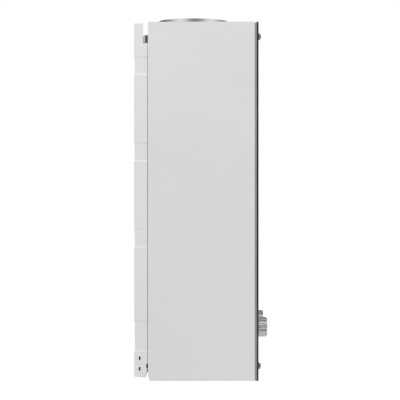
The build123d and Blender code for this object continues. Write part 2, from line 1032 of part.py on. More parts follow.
# Heat exchanger: a flanged block cut into fins above and below its tubes
core_half = core_width / 2
with BuildPart() as heat_exchanger:
    block((-core_half, core_half), (core_rear, core_front), (exchanger_low, hood_low))
    for low in (exchanger_low, hood_low - flange_sheet):
        block(
            (-core_half - flange_lip, core_half + flange_lip),
            (core_rear - flange_lip, core_front + flange_lip),
            (low, low + flange_sheet),
        )
    fin_pitch = (core_width - 2 * end_plate + fin_thickness) / fin_count
    gap_width = fin_pitch - fin_thickness
    gap_depth = core_thickness - 2 * end_plate
    with Locations((0, -flue_depth, hood_low - fin_top_cut / 2)):
        with GridLocations(fin_pitch, 0, fin_count, 1):
            Box(gap_width, gap_depth, fin_top_cut, mode=Mode.SUBTRACT)
    with Locations((0, -flue_depth, exchanger_low + fin_low_cut / 2)):
        with GridLocations(fin_pitch, 0, fin_count, 1):
            Box(gap_width, gap_depth, fin_low_cut, mode=Mode.SUBTRACT)
finish(heat_exchanger, "heat_exchanger")

# Bends that join the exchanger's tubes in turn
tube_depths = [
    flue_depth + (number - (tube_count - 1) / 2) * tube_pitch for number in range(tube_count)
]
with BuildPart() as exchanger_bends:
    for number in range(1, tube_count):
        side = -1 if number % 2 else 1
        first = tube_depths[number - 1]
        second = tube_depths[number]
        bend_points = [
            (side * core_half, first, tube_height),
            (side * (core_half + tube_reach), first, tube_height),
            (side * (core_half + tube_reach), second, tube_height),
            (side * core_half, second, tube_height),
        ]
        add(tube(bend_points, [tube_bend] * 2, pipe_radius).part)
finish(exchanger_bends, "exchanger_bends")

# Combustion chamber: a copper shell under the exchanger
with BuildPart() as combustion_chamber:
    with BuildSketch(Plane.XY.offset(chamber_low)) as chamber_outline:
        with Locations((0, -flue_depth)):
            Rectangle(core_width, core_thickness)
        chamfer(chamber_outline.vertices(), chamber_round)
    extrude(amount=exchanger_low - chamber_low)
    block(
        (-core_half - flange_lip, core_half + flange_lip),
        (core_rear - flange_lip, core_front + flange_lip),
        (exchanger_low - flange_sheet, exchanger_low),
    )
    with BuildSketch(Plane.XY.offset(chamber_low - overrun)) as chamber_hollow:
        with Locations((0, -flue_depth)):
            Rectangle(core_width - 2 * chamber_sheet, core_thickness - 2 * chamber_sheet)
        chamfer(chamber_hollow.vertices(), chamber_round - chamber_sheet / 2)
    extrude(amount=exchanger_low - chamber_low + 2 * overrun, mode=Mode.SUBTRACT)
    electrode_height = chamber_low + electrode_rise
    for side in (-1, 1):
        bar(
            facing(side * electrode_across, core_front - overrun, electrode_height),
            2 * overrun,
            ceramic_radius + close_gap,
            pipe_sides,
            Mode.SUBTRACT,
        )
finish(combustion_chamber, "combustion_chamber")

with BuildPart() as chamber_brackets:
    for side in (-1, 1):
        hat(
            side * chamber_bracket_across,
            hat_half,
            core_rear,
            (-chamber_bracket_half, chamber_bracket_half),
        )
finish(chamber_brackets, "chamber_brackets")

# Water pipes: the coil rises from the water valve, goes once round the chamber
# and enters the exchanger, and the hot pipe comes down from its other end
coil_half = core_half + close_gap + pipe_radius
coil_front = core_front + close_gap + pipe_radius
coil_rear = core_rear - close_gap - pipe_radius
coil_height = chamber_low + chamber_height * coil_start_share
side_across = coil_half + 2 * pipe_radius + side_pipe_gap
water_outlet_top = water_block_top + outlet_boss_height
coil_points = [
    (coil_half, riser_depth, water_outlet_top),
    (coil_half, riser_depth, coil_height),
    (coil_half, coil_front, coil_height + coil_climb),
    (-coil_half, coil_front, coil_height + 2 * coil_climb),
    (-coil_half, coil_rear, coil_height + 3 * coil_climb),
    (side_across, coil_rear, coil_height + 4 * coil_climb),
    (side_across, tube_depths[0], tube_height),
    (core_half, tube_depths[0], tube_height),
]
coil_bends = [bend_radius] * (len(coil_points) - 3) + [tight_bend]
chamber_coil = tube(coil_points, coil_bends, pipe_radius)
finish(chamber_coil, "chamber_coil")

hot_top = valve_axis - hot_neck_top
cross_height = burner_low - cross_drop
hot_points = [
    (-core_half, tube_depths[-1], tube_height),
    (-side_across, tube_depths[-1], tube_height),
    (-side_across, fitting_depth, coil_height),
    (-side_across, fitting_depth, cross_height),
    (0, fitting_depth, cross_height - coil_climb),
    (0, fitting_depth, hot_top),
]
hot_bends = [tight_bend] + [wide_bend] * (len(hot_points) - 3)
hot_pipe = tube(hot_points, hot_bends, pipe_radius)
finish(hot_pipe, "hot_pipe")


def nut(plane, bore):
    """Adds one six-sided nut that stands on the plane."""
    with BuildSketch(plane) as face:
        RegularPolygon(nut_radius, hex_sides)
        RegularPolygon(bore, pipe_sides, major_radius=False, mode=Mode.SUBTRACT)
    extrude(face.sketch, amount=nut_length)


with BuildPart() as pipe_nuts:
    nut(
        Plane(origin=(coil_half, -riser_depth, water_block_top)),
        neck_radius + nut_gap,
    )
    nut(
        Plane(origin=(0, -fitting_depth, hot_top - nut_length / 2)),
        neck_radius + nut_gap,
    )
    nut(outwards(core_half, tube_depths[0], tube_height), pipe_radius + nut_gap)
    nut(outwards(-core_half, tube_depths[-1], tube_height, -1), pipe_radius + nut_gap)
finish(pipe_nuts, "pipe_nuts")

# Overheat thermostat on the chamber, and the spill sensor on the hood
def snap_disc(across, rear, height):
    """A round snap-disc sensor with two flat tabs."""
    with BuildPart() as made:
        bar(facing(across, rear, height), sensor_length, sensor_radius, disc_sides)
        for side in (-1, 1):
            tab_across = across + side * sensor_tab
            block(
                (tab_across - contact_sheet, tab_across + contact_sheet),
                (rear + sensor_length, rear + sensor_length + sensor_tab),
                (height - sensor_tab / 2, height + sensor_tab / 2),
            )
    return made


thermostat_height = exchanger_low - flange_sheet - sensor_radius - close_gap
overheat_thermostat = snap_disc(thermostat_across, core_front, thermostat_height)
finish(overheat_thermostat, "overheat_thermostat")
hood_front = flue_depth + (core_thickness + flange_lip) / 2
spill_height = hood_low + hood_skirt / 2
spill_sensor = snap_disc(spill_across, hood_front, spill_height)
finish(spill_sensor, "spill_sensor")

# Burner: a frame with two rails that carry the blades
burner_half = burner_width / 2
blade_base = burner_low + burner_sheet
blade_top = chamber_low - blade_drop
manifold_rear = core_front + blade_drop
manifold_front = manifold_rear + manifold_thickness
manifold_low = burner_low + manifold_rise
manifold_top = manifold_low + manifold_height
blade_rear = core_rear + blade_margin
blade_front = core_front - blade_margin
with BuildPart() as burner_frame:
    block(
        (-core_half, core_half),
        (core_rear, core_front),
        (chamber_low - burner_sheet, chamber_low),
    )
    block((-burner_half, burner_half), (core_rear, core_front), (burner_low, chamber_low))
    burner_inside = burner_half - burner_sheet
    block(
        (-burner_inside, burner_inside),
        (core_rear + burner_sheet, core_front - burner_sheet),
        (burner_low - overrun, chamber_low + overrun),
        Mode.SUBTRACT,
    )
    # The front is open below, where the jets blow in
    block(
        (-burner_inside, burner_inside),
        (core_front - rail_width, core_front + overrun),
        (burner_low - overrun, manifold_top + blade_drop),
        Mode.SUBTRACT,
    )
    for rail in (blade_rear + rail_width, blade_front - 2 * rail_width):
        block((-burner_half, burner_half), (rail, rail + rail_width), (burner_low, blade_base))
    for side in (-1, 1):
        block(
            (side * burner_half, side * burner_inside),
            (core_front - rail_width, manifold_rear),
            (manifold_low, manifold_top),
        )
finish(burner_frame, "burner_frame")

blade_places = [
    (number - (blade_count - 1) / 2) * blade_pitch for number in range(blade_count)
]
with BuildPart() as burner_blades:
    with BuildSketch(facing(0, blade_rear, 0)) as blade_outlines:
        with Locations(*[(across, 0) for across in blade_places]):
            with BuildSketch(Plane.XY, mode=Mode.PRIVATE) as blade_outline:
                with BuildLine():
                    rise = blade_top - blade_base
                    right = [
                        (blade_base_width / 2, blade_base),
                        (blade_base_width / 2, blade_base + blade_rise),
                        (blade_neck_width / 2, blade_base + rise * neck_low_share),
                        (blade_neck_width / 2, blade_base + rise * neck_high_share),
                        (blade_port_width / 2, blade_top - blade_rise),
                        (blade_port_width / 2, blade_top),
                    ]
                    left = [(-across, height) for across, height in reversed(right)]
                    Polyline(*right, *left, close=True)
                make_face()
            add(blade_outline.sketch)
    extrude(amount=blade_front - blade_rear)
finish(burner_blades, "burner_blades")

with BuildPart() as gas_manifold:
    block(
        (-burner_half, burner_half),
        (manifold_rear, manifold_front),
        (manifold_low, manifold_top),
    )
    long_edges = gas_manifold.edges().filter_by(Axis.X).group_by(Axis.Y)[0]
    fillet(long_edges, manifold_round)
finish(gas_manifold, "gas_manifold")

nozzle_height = (manifold_low + manifold_top) / 2
with BuildPart() as gas_nozzles:
    with BuildSketch(facing(0, manifold_rear - nozzle_length, nozzle_height)):
        with Locations(*[(across, 0) for across in blade_places]):
            RegularPolygon(nozzle_radius, hex_sides)
            RegularPolygon(nozzle_bore, hex_sides, mode=Mode.SUBTRACT)
    extrude(amount=nozzle_length)
finish(gas_nozzles, "gas_nozzles")

# Gas pipe from the valve to the manifold
gas_outlet_across = -knob_across + gas_outlet_shift
gas_outlet_top = gas_block_top + outlet_boss_height
manifold_middle = (manifold_rear + manifold_front) / 2
gas_rise = manifold_low - gas_outlet_top
gas_points = [
    (gas_outlet_across, gas_outlet_depth, gas_outlet_top),
    (gas_outlet_across, gas_outlet_depth, gas_outlet_top + gas_rise * gas_turn_share),
    (gas_outlet_across, manifold_middle, manifold_low - gas_rise * gas_turn_share),
    (gas_outlet_across, manifold_middle, manifold_low),
]
gas_pipe = tube(gas_points, [tight_bend] * 2, gas_pipe_radius)
finish(gas_pipe, "gas_pipe")


# Electrodes: a ceramic body through the chamber's wall with a wire tip
def electrode(across):
    rear = core_front - ceramic_length / 2
    front = core_front + ceramic_length / 2
    with BuildPart() as made:
        bar(facing(across, rear, electrode_height), ceramic_length, ceramic_radius, pipe_sides)
        wire_start = facing(across, rear - wire_length, electrode_height)
        wire_full = wire_length + ceramic_length + sensor_tab
        bar(wire_start, wire_full, wire_radius, hex_sides)
        block(
            (across - electrode_plate / 2, across + electrode_plate / 2),
            (core_front, core_front + hat_sheet),
            (electrode_height - electrode_plate / 3, electrode_height + electrode_plate / 3),
        )
    return made


ignition_electrode = electrode(electrode_across)
finish(ignition_electrode, "ignition_electrode")
flame_sensor = electrode(-electrode_across)
finish(flame_sensor, "flame_sensor")

# Gas valve: a cast block with bosses for the spindle, the tappet and the pipe
gas_block = (-knob_across - gas_block_width / 2, -knob_across + gas_block_width / 2)
tappet_end = gas_block[1] + tappet_boss_length
spindle_bore = spindle_radius + running_fit
rod_bore = rod_radius + running_fit
rod_start = tappet_end - rod_in_tappet
boss_front = valve_front + spindle_boss
bore_start = valve_front - gas_bore_end - close_gap
with BuildPart() as gas_valve:
    block(gas_block, (valve_rear, valve_front), (gas_block_base, gas_block_top))
    chamfer(gas_valve.edges().filter_by(Axis.Z), block_round)
    boss_start = facing(-knob_across, valve_front - overrun, valve_axis)
    bar(boss_start, overrun + spindle_boss, boss_radius, pipe_sides)
    tappet_start = outwards(gas_block[1] - overrun, valve_depth, valve_axis)
    bar(tappet_start, overrun + tappet_boss_length, tappet_boss_radius, pipe_sides)
    bar(
        Plane(origin=(gas_outlet_across, -gas_outlet_depth, gas_block_top - overrun)),
        overrun + outlet_boss_height,
        outlet_boss_radius,
        hex_sides,
    )
    governor_across = governor_shift - knob_across
    bar(
        facing(governor_across, valve_front - overrun, valve_axis - governor_drop),
        overrun + governor_height,
        governor_radius,
        hex_sides,
    )
    rod_forward(
        -knob_across, (bore_start, boss_front + overrun), valve_axis, spindle_bore, Mode.SUBTRACT
    )
    rod_across(
        (rod_start - rod_travel - close_gap, tappet_end + overrun),
        valve_depth,
        valve_axis,
        rod_bore,
        Mode.SUBTRACT,
    )
finish(gas_valve, "gas_valve")

with BuildPart() as gas_solenoid:
    solenoid_end = gas_block[0] - solenoid_length
    can_start = outwards(gas_block[0], valve_depth, valve_axis, -1)
    bar(can_start, solenoid_length, solenoid_radius, disc_sides)
    cap_start = outwards(solenoid_end, valve_depth, valve_axis, -1)
    bar(cap_start, solenoid_cap, solenoid_radius - solenoid_cap, hex_sides)
finish(gas_solenoid, "gas_solenoid")

# Water valve: a cast block with one half of the diaphragm housing
disc_face = water_block_inner - disc_thickness
with BuildPart() as water_valve:
    block(
        (water_block_inner, water_block_outer),
        (valve_rear, valve_front),
        (water_block_base, water_block_top),
    )
    chamfer(water_valve.edges().filter_by(Axis.Z), block_round)
    disc_start = outwards(disc_face, valve_depth, valve_axis)
    bar(disc_start, disc_thickness + block_round, disc_radius, pipe_sides)
    boss_start = facing(knob_across, valve_front - overrun, valve_axis)
    bar(boss_start, overrun + spindle_boss, boss_radius, pipe_sides)
    bar(
        Plane(origin=(coil_half, -riser_depth, water_block_top - overrun)),
        overrun + outlet_boss_height,
        neck_radius - nut_gap,
        pipe_sides,
    )
    rod_forward(
        knob_across, (bore_start, boss_front + overrun), valve_axis, spindle_bore, Mode.SUBTRACT
    )
    rod_upright(
        drain_across,
        drain_depth,
        (water_block_base - overrun, water_block_base + drain_grip + close_gap),
        drain_stem + running_fit,
        Mode.SUBTRACT,
    )
finish(water_valve, "water_valve")

# The diaphragm lies in a recess of its cover, inside the ring of screws
diaphragm_radius = cover_screw_circle - cover_screw_seat
diaphragm_face = disc_face - diaphragm_thickness
with BuildPart() as diaphragm:
    diaphragm_start = outwards(diaphragm_face, valve_depth, valve_axis)
    bar(diaphragm_start, diaphragm_thickness, diaphragm_radius, pipe_sides)
finish(diaphragm, "diaphragm")

# The cover: a flange and a spring housing with flat sides, and a round nose for the rod
nose_end = diaphragm_face - cover_flange - cover_dome - cover_nose
rod_stop = nose_end + rod_in_cover
flange_end = diaphragm_face - cover_flange
with BuildPart() as diaphragm_cover:
    with BuildSketch(facing(0, valve_depth, valve_axis)):
        with BuildLine():
            Polyline(
                (nose_end, 0),
                (nose_end, cover_nose_radius),
                (diaphragm_face, cover_nose_radius),
                (diaphragm_face, 0),
                close=True,
            )
        make_face()
    revolve(axis=Axis((0, -valve_depth, valve_axis), (1, 0, 0)))
    dome_start = outwards(flange_end - cover_dome, valve_depth, valve_axis)
    bar(dome_start, cover_dome + cover_flange, cover_dome_radius, pipe_sides)
    flange_start = outwards(flange_end, valve_depth, valve_axis)
    bar(flange_start, disc_face - flange_end, disc_radius, pipe_sides)
    bar(
        diaphragm_start,
        diaphragm_thickness + overrun,
        diaphragm_radius + close_gap,
        pipe_sides,
        Mode.SUBTRACT,
    )
    rod_across(
        (nose_end - overrun, rod_stop + close_gap),
        valve_depth,
        valve_axis,
        rod_bore,
        Mode.SUBTRACT,
    )
finish(diaphragm_cover, "diaphragm_cover")

# Heads of the screws round the cover
with BuildPart() as cover_screws:
    with BuildSketch(outwards(flange_end, valve_depth, valve_axis)):
        with PolarLocations(cover_screw_circle, cover_screw_count, start_angle=45):
            RegularPolygon(cover_screw_head, hex_sides)
    extrude(amount=-cover_flange)
finish(cover_screws, "cover_screws")

# Push rod: the diaphragm drives it to open the gas, and its collar trips the switch
strap_end = gas_block[1] + strap_length
switch_right = strap_end - switch_inset
lever_across = switch_right - lever_inset
lever_face = lever_across + lever_sheet / 2
with BuildPart() as push_rod:
    rod_across((rod_start, rod_stop), valve_depth, valve_axis, rod_radius)
    collar_start = outwards(lever_face + close_gap, valve_depth, valve_axis)
    bar(collar_start, rod_collar_width, rod_collar_radius, pipe_sides)
finish(push_rod, "push_rod")

# Microswitch, its strap on the gas valve and its lever
strap_top = gas_block_top + strap_sheet
switch_low = gas_block_top - switch_height
pivot_height = switch_low - lever_drop
strap_depths = (valve_depth - strap_width / 2, valve_depth + strap_width / 2)
switch_depths = (valve_depth - switch_thickness / 2, valve_depth + switch_thickness / 2)
with BuildPart() as switch_bracket:
    block((gas_block[1] - strap_seat, strap_end), strap_depths, (gas_block_top, strap_top))
finish(switch_bracket, "switch_bracket")

with BuildPart() as microswitch:
    block((switch_right - switch_width, switch_right), switch_depths, (switch_low, gas_block_top))
    for near, far in (
        (switch_depths[0], switch_depths[0] + ear_sheet),
        (switch_depths[1] - ear_sheet, switch_depths[1]),
    ):
        block(
            (lever_across - ear_width / 2, lever_across + ear_width / 2),
            (near, far),
            (switch_low - ear_drop, switch_low),
        )
    pin_start = facing(lever_across, switch_depths[0] - overrun, pivot_height)
    pin_length = switch_thickness + 2 * overrun
    bar(pin_start, pin_length, lever_pin + running_fit, pipe_sides, Mode.SUBTRACT)
finish(microswitch, "microswitch")

lever_end = valve_axis + rod_radius + lever_end_gap
lever_arm = pivot_height - valve_axis - rod_collar_radius
lever_angle = math.degrees(math.asin(rod_travel / lever_arm))
print("lever turns", round(lever_angle, 3), "degrees; ratio", round(
    math.radians(lever_angle) / rod_travel, 6), "radians per millimetre")
with BuildPart() as microswitch_lever:
    rod_forward(lever_across, switch_depths, pivot_height, lever_pin)
    hub_start = facing(lever_across, switch_depths[0] + ear_sheet + close_gap, pivot_height)
    hub_length = switch_thickness - 2 * ear_sheet - 2 * close_gap
    bar(hub_start, hub_length, lever_hub, pipe_sides)
    block(
        (lever_across - lever_sheet / 2, lever_face),
        (valve_depth - lever_width / 2, valve_depth + lever_width / 2),
        (lever_end, pivot_height),
    )
finish(microswitch_lever, "microswitch_lever")


# Fittings: a threaded end, a six-sided collar on the bracket and a neck above it
def fitting(across, neck_top):
    with BuildPart() as made:
        rod_upright(across, fitting_depth, (thread_end, bracket_top), thread_radius)
        with BuildSketch(Plane(origin=(across, -fitting_depth, bracket_top))):
            RegularPolygon(hex_radius, hex_sides)
        extrude(amount=hex_height)
        with BuildSketch(Plane(origin=(across, -fitting_depth, bracket_top))):
            RegularPolygon(neck_radius, pipe_sides)
        extrude(amount=neck_top - bracket_top)
        bar(
            Plane(origin=(across, -fitting_depth, thread_end - overrun)),
            overrun + thread_bore_depth,
            thread_bore,
            pipe_sides,
            Mode.SUBTRACT,
        )
    return made


gas_inlet = fitting(-knob_across, gas_block_base)
finish(gas_inlet, "gas_inlet")
hot_outlet = fitting(0, hot_top)
finish(hot_outlet, "hot_outlet")
cold_inlet = fitting(knob_across, water_block_base)
finish(cold_inlet, "cold_inlet")

# Bracket that carries the fittings and the battery box
bracket_low = bracket_top - bracket_sheet
with BuildPart() as valve_bracket:
    leg_top = bracket_low + bracket_leg
    block((-bracket_half, bracket_half), (plate_sheet, battery_rear), (bracket_low, bracket_top))
    block(
        (-bracket_half, bracket_half),
        (plate_sheet, plate_sheet + bracket_sheet),
        (bracket_low, leg_top),
    )
    battery_half = battery_width / 2
    block(
        (-battery_half, battery_half),
        (battery_rear - bracket_sheet, battery_rear),
        (bracket_low, leg_top),
    )
    # Corners stand clear of the drain plug
    for side in (-1, 1):
        block(
            (side * (drain_across - drain_hole), side * (bracket_half + overrun)),
            (drain_depth - drain_hole - drain_head, battery_rear + overrun),
            (bracket_low - overrun, bracket_top + overrun),
            Mode.SUBTRACT,
        )
    for across in (-knob_across, 0, knob_across):
        hole_start = Plane(origin=(across, -fitting_depth, bracket_low - overrun))
        hole_length = bracket_sheet + 2 * overrun
        bar(hole_start, hole_length, thread_radius + bracket_hole_gap, pipe_sides, Mode.SUBTRACT)
finish(valve_bracket, "valve_bracket")

# Drain plug: a stem in the water valve and a ten-sided head in the casing's bottom
with BuildPart() as drain_plug:
    head_low = casing_low - drain_drop
    rod_upright(
        drain_across, drain_depth, (head_low, water_block_base + drain_grip), drain_stem
    )
    head_start = Plane(origin=(drain_across, -drain_depth, head_low))
    bar(head_start, water_block_base - close_gap - head_low, drain_shaft, pipe_sides)
    bar(head_start, drain_head_height, drain_head, drain_sides)
finish(drain_plug, "drain_plug")

# Battery box, open below, with its hinged lid
battery_top = casing_low + battery_height
battery_inner = battery_half - battery_wall
hinge_depth = battery_rear + lid_hinge_depth
hinge_height = casing_low + lid_hinge_rise
with BuildPart() as battery_box:
    block((-battery_half, battery_half), (battery_rear, battery_front), (casing_low, battery_top))
    chamfer(battery_box.edges().filter_by(Axis.Z), battery_wall)
    block(
        (-battery_inner, battery_inner),
        (battery_rear + battery_wall, battery_front - battery_wall),
        (casing_low - overrun, battery_top - battery_wall),
        Mode.SUBTRACT,
    )
    pin_start = outwards(-battery_half - overrun, hinge_depth, hinge_height)
    pin_length = battery_width + 2 * overrun
    bar(pin_start, pin_length, lid_pin + running_fit, pipe_sides, Mode.SUBTRACT)
    # A thumb notch in the front wall, at the lid's free edge
    block(
        (-lid_grip_width / 2, lid_grip_width / 2),
        (battery_front - battery_wall - overrun, battery_front + overrun),
        (casing_low - overrun, casing_low + lid_sheet),
        Mode.SUBTRACT,
    )
finish(battery_box, "battery_box")

with BuildPart() as battery_lid:
    lid_half = battery_inner - close_gap
    lid_front = battery_front - battery_wall - close_gap
    block((-lid_half, lid_half), (hinge_depth, lid_front), (casing_low, casing_low + lid_sheet))
    barrel_start = outwards(-lid_half, hinge_depth, hinge_height)
    bar(barrel_start, 2 * lid_half, lid_barrel, pipe_sides)
    rod_across((-battery_half, battery_half), hinge_depth, hinge_height, lid_pin)
    block(
        (-lid_grip_width / 2 + close_gap, lid_grip_width / 2 - close_gap),
        (lid_front - lid_grip_depth, battery_front),
        (casing_low, casing_low + lid_sheet - lid_grip_drop),
    )
    # Grip ribs across the lid
    with Locations((0, -hinge_depth - (lid_front - hinge_depth) * rib_front_share, casing_low)):
        with GridLocations(0, lid_grip_depth, 1, lid_rib_count):
            Box(lid_half, lid_grip_drop, lid_grip_drop, mode=Mode.SUBTRACT)
finish(battery_lid, "battery_lid")

# Two D cells side by side, and the contact strips at their ends
cell_height = casing_low + lid_sheet + cell_gap + cell_radius
battery_middle = (battery_rear + battery_front) / 2
with BuildPart() as battery_cells:
    for side in (-1, 1):
        cell_depth = battery_middle + side * (cell_radius + cell_gap / 2)
        half_cell = cell_length / 2
        cell_start = outwards(-side * half_cell, cell_depth, cell_height, side)
        bar(cell_start, cell_length - cell_tip, cell_radius, cell_sides)
        tip_start = outwards(side * (half_cell - cell_tip), cell_depth, cell_height, side)
        bar(tip_start, cell_tip, cell_tip_radius, hex_sides)
finish(battery_cells, "battery_cells")

with BuildPart() as battery_contacts:
    for side in (-1, 1):
        for end in (-1, 1):
            cell_depth = battery_middle + side * (cell_radius + cell_gap / 2)
            with BuildSketch(facing(0, cell_depth - contact_width / 2, cell_height)):
                with BuildLine():
                    wall = end * battery_inner
                    bulge = end * (half_cell + running_fit)
                    skin = end * contact_sheet
                    high = contact_height / 2
                    Polyline(
                        (wall, high),
                        (wall, -high),
                        (wall - skin, -high),
                        (bulge, 0),
                        (wall - skin, high),
                        close=True,
                    )
                make_face()
                with BuildLine():
                    Polyline(
                        (wall - skin, high - 2 * contact_sheet),
                        (wall - skin, contact_sheet - high),
                        (bulge + skin, 0),
                        close=True,
                    )
                make_face(mode=Mode.SUBTRACT)
            extrude(amount=contact_width)
finish(battery_contacts, "battery_contacts")

# Brackets under the valve bracket, the screws that hold the casing, and its top hooks
case_web = case_bracket_rear + case_bracket_foot
case_screw_depth = case_bracket_rear + 2 * case_bracket_foot
casing_floor = casing_low + casing_sheet
with BuildPart() as casing_brackets:
    for side in (-1, 1):
        across = side * case_bracket_across
        half = case_bracket_width / 2
        span = (across - half, across + half)
        foot_front = case_screw_depth + case_bracket_foot / 2
        block(span, (case_bracket_rear, case_web), (bracket_low - hat_sheet, bracket_low))
        block(span, (case_web - hat_sheet, case_web), (casing_floor, bracket_low))
        block(span, (case_web - hat_sheet, foot_front), (casing_floor, casing_floor + hat_sheet))
        hole_start = Plane(origin=(across, -case_screw_depth, casing_floor - overrun))
        bar(hole_start, 2 * overrun, case_screw_radius + nut_gap, hex_sides, Mode.SUBTRACT)
finish(casing_brackets, "casing_brackets")

with BuildPart() as case_screws:
    for side in (-1, 1):
        across = side * case_bracket_across
        seat = Plane(origin=(across, -case_screw_depth, casing_low))
        bar(seat, case_screw_length, case_screw_radius, hex_sides)
        bar(seat, -case_screw_head_height, case_screw_head, hex_sides)
finish(case_screws, "case_screws")

hook_top = casing_top - hook_drop
with BuildPart() as casing_hooks:
    for side in (-1, 1):
        block(
            (side * plate_half, side * (plate_half - hook_sheet)),
            (notch_depth + hook_gap, notch_depth + hook_gap + hook_reach),
            (hook_top - hook_height, hook_top),
        )
finish(casing_hooks, "casing_hooks")

# Ignition controller on the back plate
controller_middle = (band_low_shares[2] + band_high_shares[3]) / 2 * casing_height
controller_front = plate_sheet + controller_depth
controller_span = (controller_inner, controller_inner + controller_width)
controller_heights = (
    controller_middle - controller_height / 2,
    controller_middle + controller_height / 2,
)
controller_across = middle(controller_span)
with BuildPart() as controller:
    block(controller_span, (plate_sheet, controller_front), controller_heights)
    chamfer(controller.edges().filter_by(Axis.Y), controller_round)
    for number in range(terminal_count):
        height = controller_middle + (number - (terminal_count - 1) / 2) * terminal_pitch
        block(
            (controller_across - terminal_width / 2, controller_across + terminal_width / 2),
            (controller_front, controller_front + terminal_depth),
            (height - terminal_height / 2, height + terminal_height / 2),
        )
finish(controller, "controller")
terminal_heights = [
    controller_middle + (number - (terminal_count - 1) / 2) * terminal_pitch
    for number in range(terminal_count)
]
terminal_front = controller_front + terminal_depth

# Leads from the controller's terminals, each held by its two ends
electrode_end = core_front + ceramic_length / 2 + sensor_tab
solenoid_top = valve_axis + solenoid_radius
solenoid_lead_across = gas_block[0] - solenoid_length * solenoid_lead_share
battery_exit = battery_rear + battery_lead_depth


def between(shares):
    """The places that a lead passes between its ends."""
    return [
        (across * casing_width / 2, depth * casing_front, height * casing_height)
        for across, depth, height in shares
    ]


def lead_end(share):
    """How deep a lead turns before it runs straight to its electrode."""
    return electrode_end + (casing_front - electrode_end) * share


def terminal_run(number):
    """The two places where a lead leaves one of the controller's terminals."""
    height = terminal_heights[number]
    return [
        (controller_across, terminal_front, height),
        (controller_across, terminal_front + lead_exits[number], height),
    ]


ignition_lead = lead(
    terminal_run(3) + between(ignition_route_shares) + [
        (electrode_across, lead_end(ignition_end_share), electrode_height),
        (electrode_across, electrode_end, electrode_height),
    ],
    "ignition_lead",
)
finish(ignition_lead, "ignition_lead")

sensor_lead = lead(
    terminal_run(2) + between(sensor_route_shares) + [
        (-electrode_across, lead_end(sensor_end_share), electrode_height),
        (-electrode_across, electrode_end, electrode_height),
    ],
    "sensor_lead",
)
finish(sensor_lead, "sensor_lead")

solenoid_lead = lead(
    [
        (solenoid_lead_across, valve_depth, solenoid_top),
        (solenoid_lead_across, valve_depth, solenoid_top + solenoid_lead_rise),
    ] + between(solenoid_route_shares) + terminal_run(1)[::-1],
    "solenoid_lead",
)
finish(solenoid_lead, "solenoid_lead")

battery_lead = lead(
    [
        (battery_lead_across, battery_exit, battery_top),
        (battery_lead_across, battery_exit, battery_top + battery_lead_rise),
    ] + between(battery_route_shares) + terminal_run(0)[::-1],
    "battery_lead",
)
finish(battery_lead, "battery_lead")
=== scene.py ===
import bpy
import json
import math
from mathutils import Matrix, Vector


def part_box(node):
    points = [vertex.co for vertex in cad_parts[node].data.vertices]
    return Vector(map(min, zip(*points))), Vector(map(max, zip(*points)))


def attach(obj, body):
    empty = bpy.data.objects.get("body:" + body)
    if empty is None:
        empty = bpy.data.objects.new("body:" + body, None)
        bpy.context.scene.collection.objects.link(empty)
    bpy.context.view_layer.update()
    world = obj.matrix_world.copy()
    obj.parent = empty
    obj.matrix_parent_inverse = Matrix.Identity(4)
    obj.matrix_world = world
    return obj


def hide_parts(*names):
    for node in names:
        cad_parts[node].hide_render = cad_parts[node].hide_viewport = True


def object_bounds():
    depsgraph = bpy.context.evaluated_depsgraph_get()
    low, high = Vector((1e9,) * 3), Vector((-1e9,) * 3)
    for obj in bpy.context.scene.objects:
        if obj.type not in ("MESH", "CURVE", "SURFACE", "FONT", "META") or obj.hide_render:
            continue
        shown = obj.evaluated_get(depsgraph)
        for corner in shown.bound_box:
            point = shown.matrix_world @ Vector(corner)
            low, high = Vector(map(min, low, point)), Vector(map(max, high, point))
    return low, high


# The looks of a gas instantaneous water heater with a glass front.
# Metres, in the CAD's frame: +X to the right as seen from the front, the wall
# is the plane Y = 0, the front is towards -Y and +Z is up.
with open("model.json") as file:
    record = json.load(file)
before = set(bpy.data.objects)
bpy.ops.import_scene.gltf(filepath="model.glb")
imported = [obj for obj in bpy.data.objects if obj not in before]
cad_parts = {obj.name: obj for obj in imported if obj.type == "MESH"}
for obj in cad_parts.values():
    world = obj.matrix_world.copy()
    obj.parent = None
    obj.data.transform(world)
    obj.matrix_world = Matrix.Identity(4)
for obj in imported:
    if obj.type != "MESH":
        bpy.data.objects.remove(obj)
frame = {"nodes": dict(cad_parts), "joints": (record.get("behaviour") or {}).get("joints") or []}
cad_box = [list(corner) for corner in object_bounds()]
nodes = frame["nodes"]

# Camera, from the photograph: a level view of the side at the front's left
camera_distance = 2.770
camera_y = -0.1010
camera_z = 0.0021
photo_pixels = 400
focal_pixels = 1810
sensor_millimetres = 36

# Stage
floor_drop = 0.75
floor_size = 30.0
floor_glow = 0.5
floor_colour = (0.86, 0.86, 0.86, 1)
sky_strength = 0.69
sky_colour = (0.975, 0.988, 1.0, 1)
backdrop_colour = (1, 1, 1, 1)
# What shiny surfaces see round them: places round the horizon in degrees, from
# the left side's direction towards the front, and how bright the studio is there
studio_bands = (
    (-180, 0.14), (-140, 0.08), (-118, 0.12), (-102, 0.32), (-88, 0.52), (-74, 0.84),
    (-60, 1.14), (-46, 1.28), (-34, 1.24), (-24, 1.02), (-14, 0.66), (-5, 0.43),
    (6, 0.38), (17, 0.43), (28, 0.62), (39, 0.94), (50, 1.20), (62, 1.28),
    (75, 1.14), (90, 0.88), (106, 0.56), (126, 0.50), (150, 0.34), (180, 0.14),
)
warm = (1.0, 0.975, 0.945)
plain = (1.0, 1.0, 1.0)
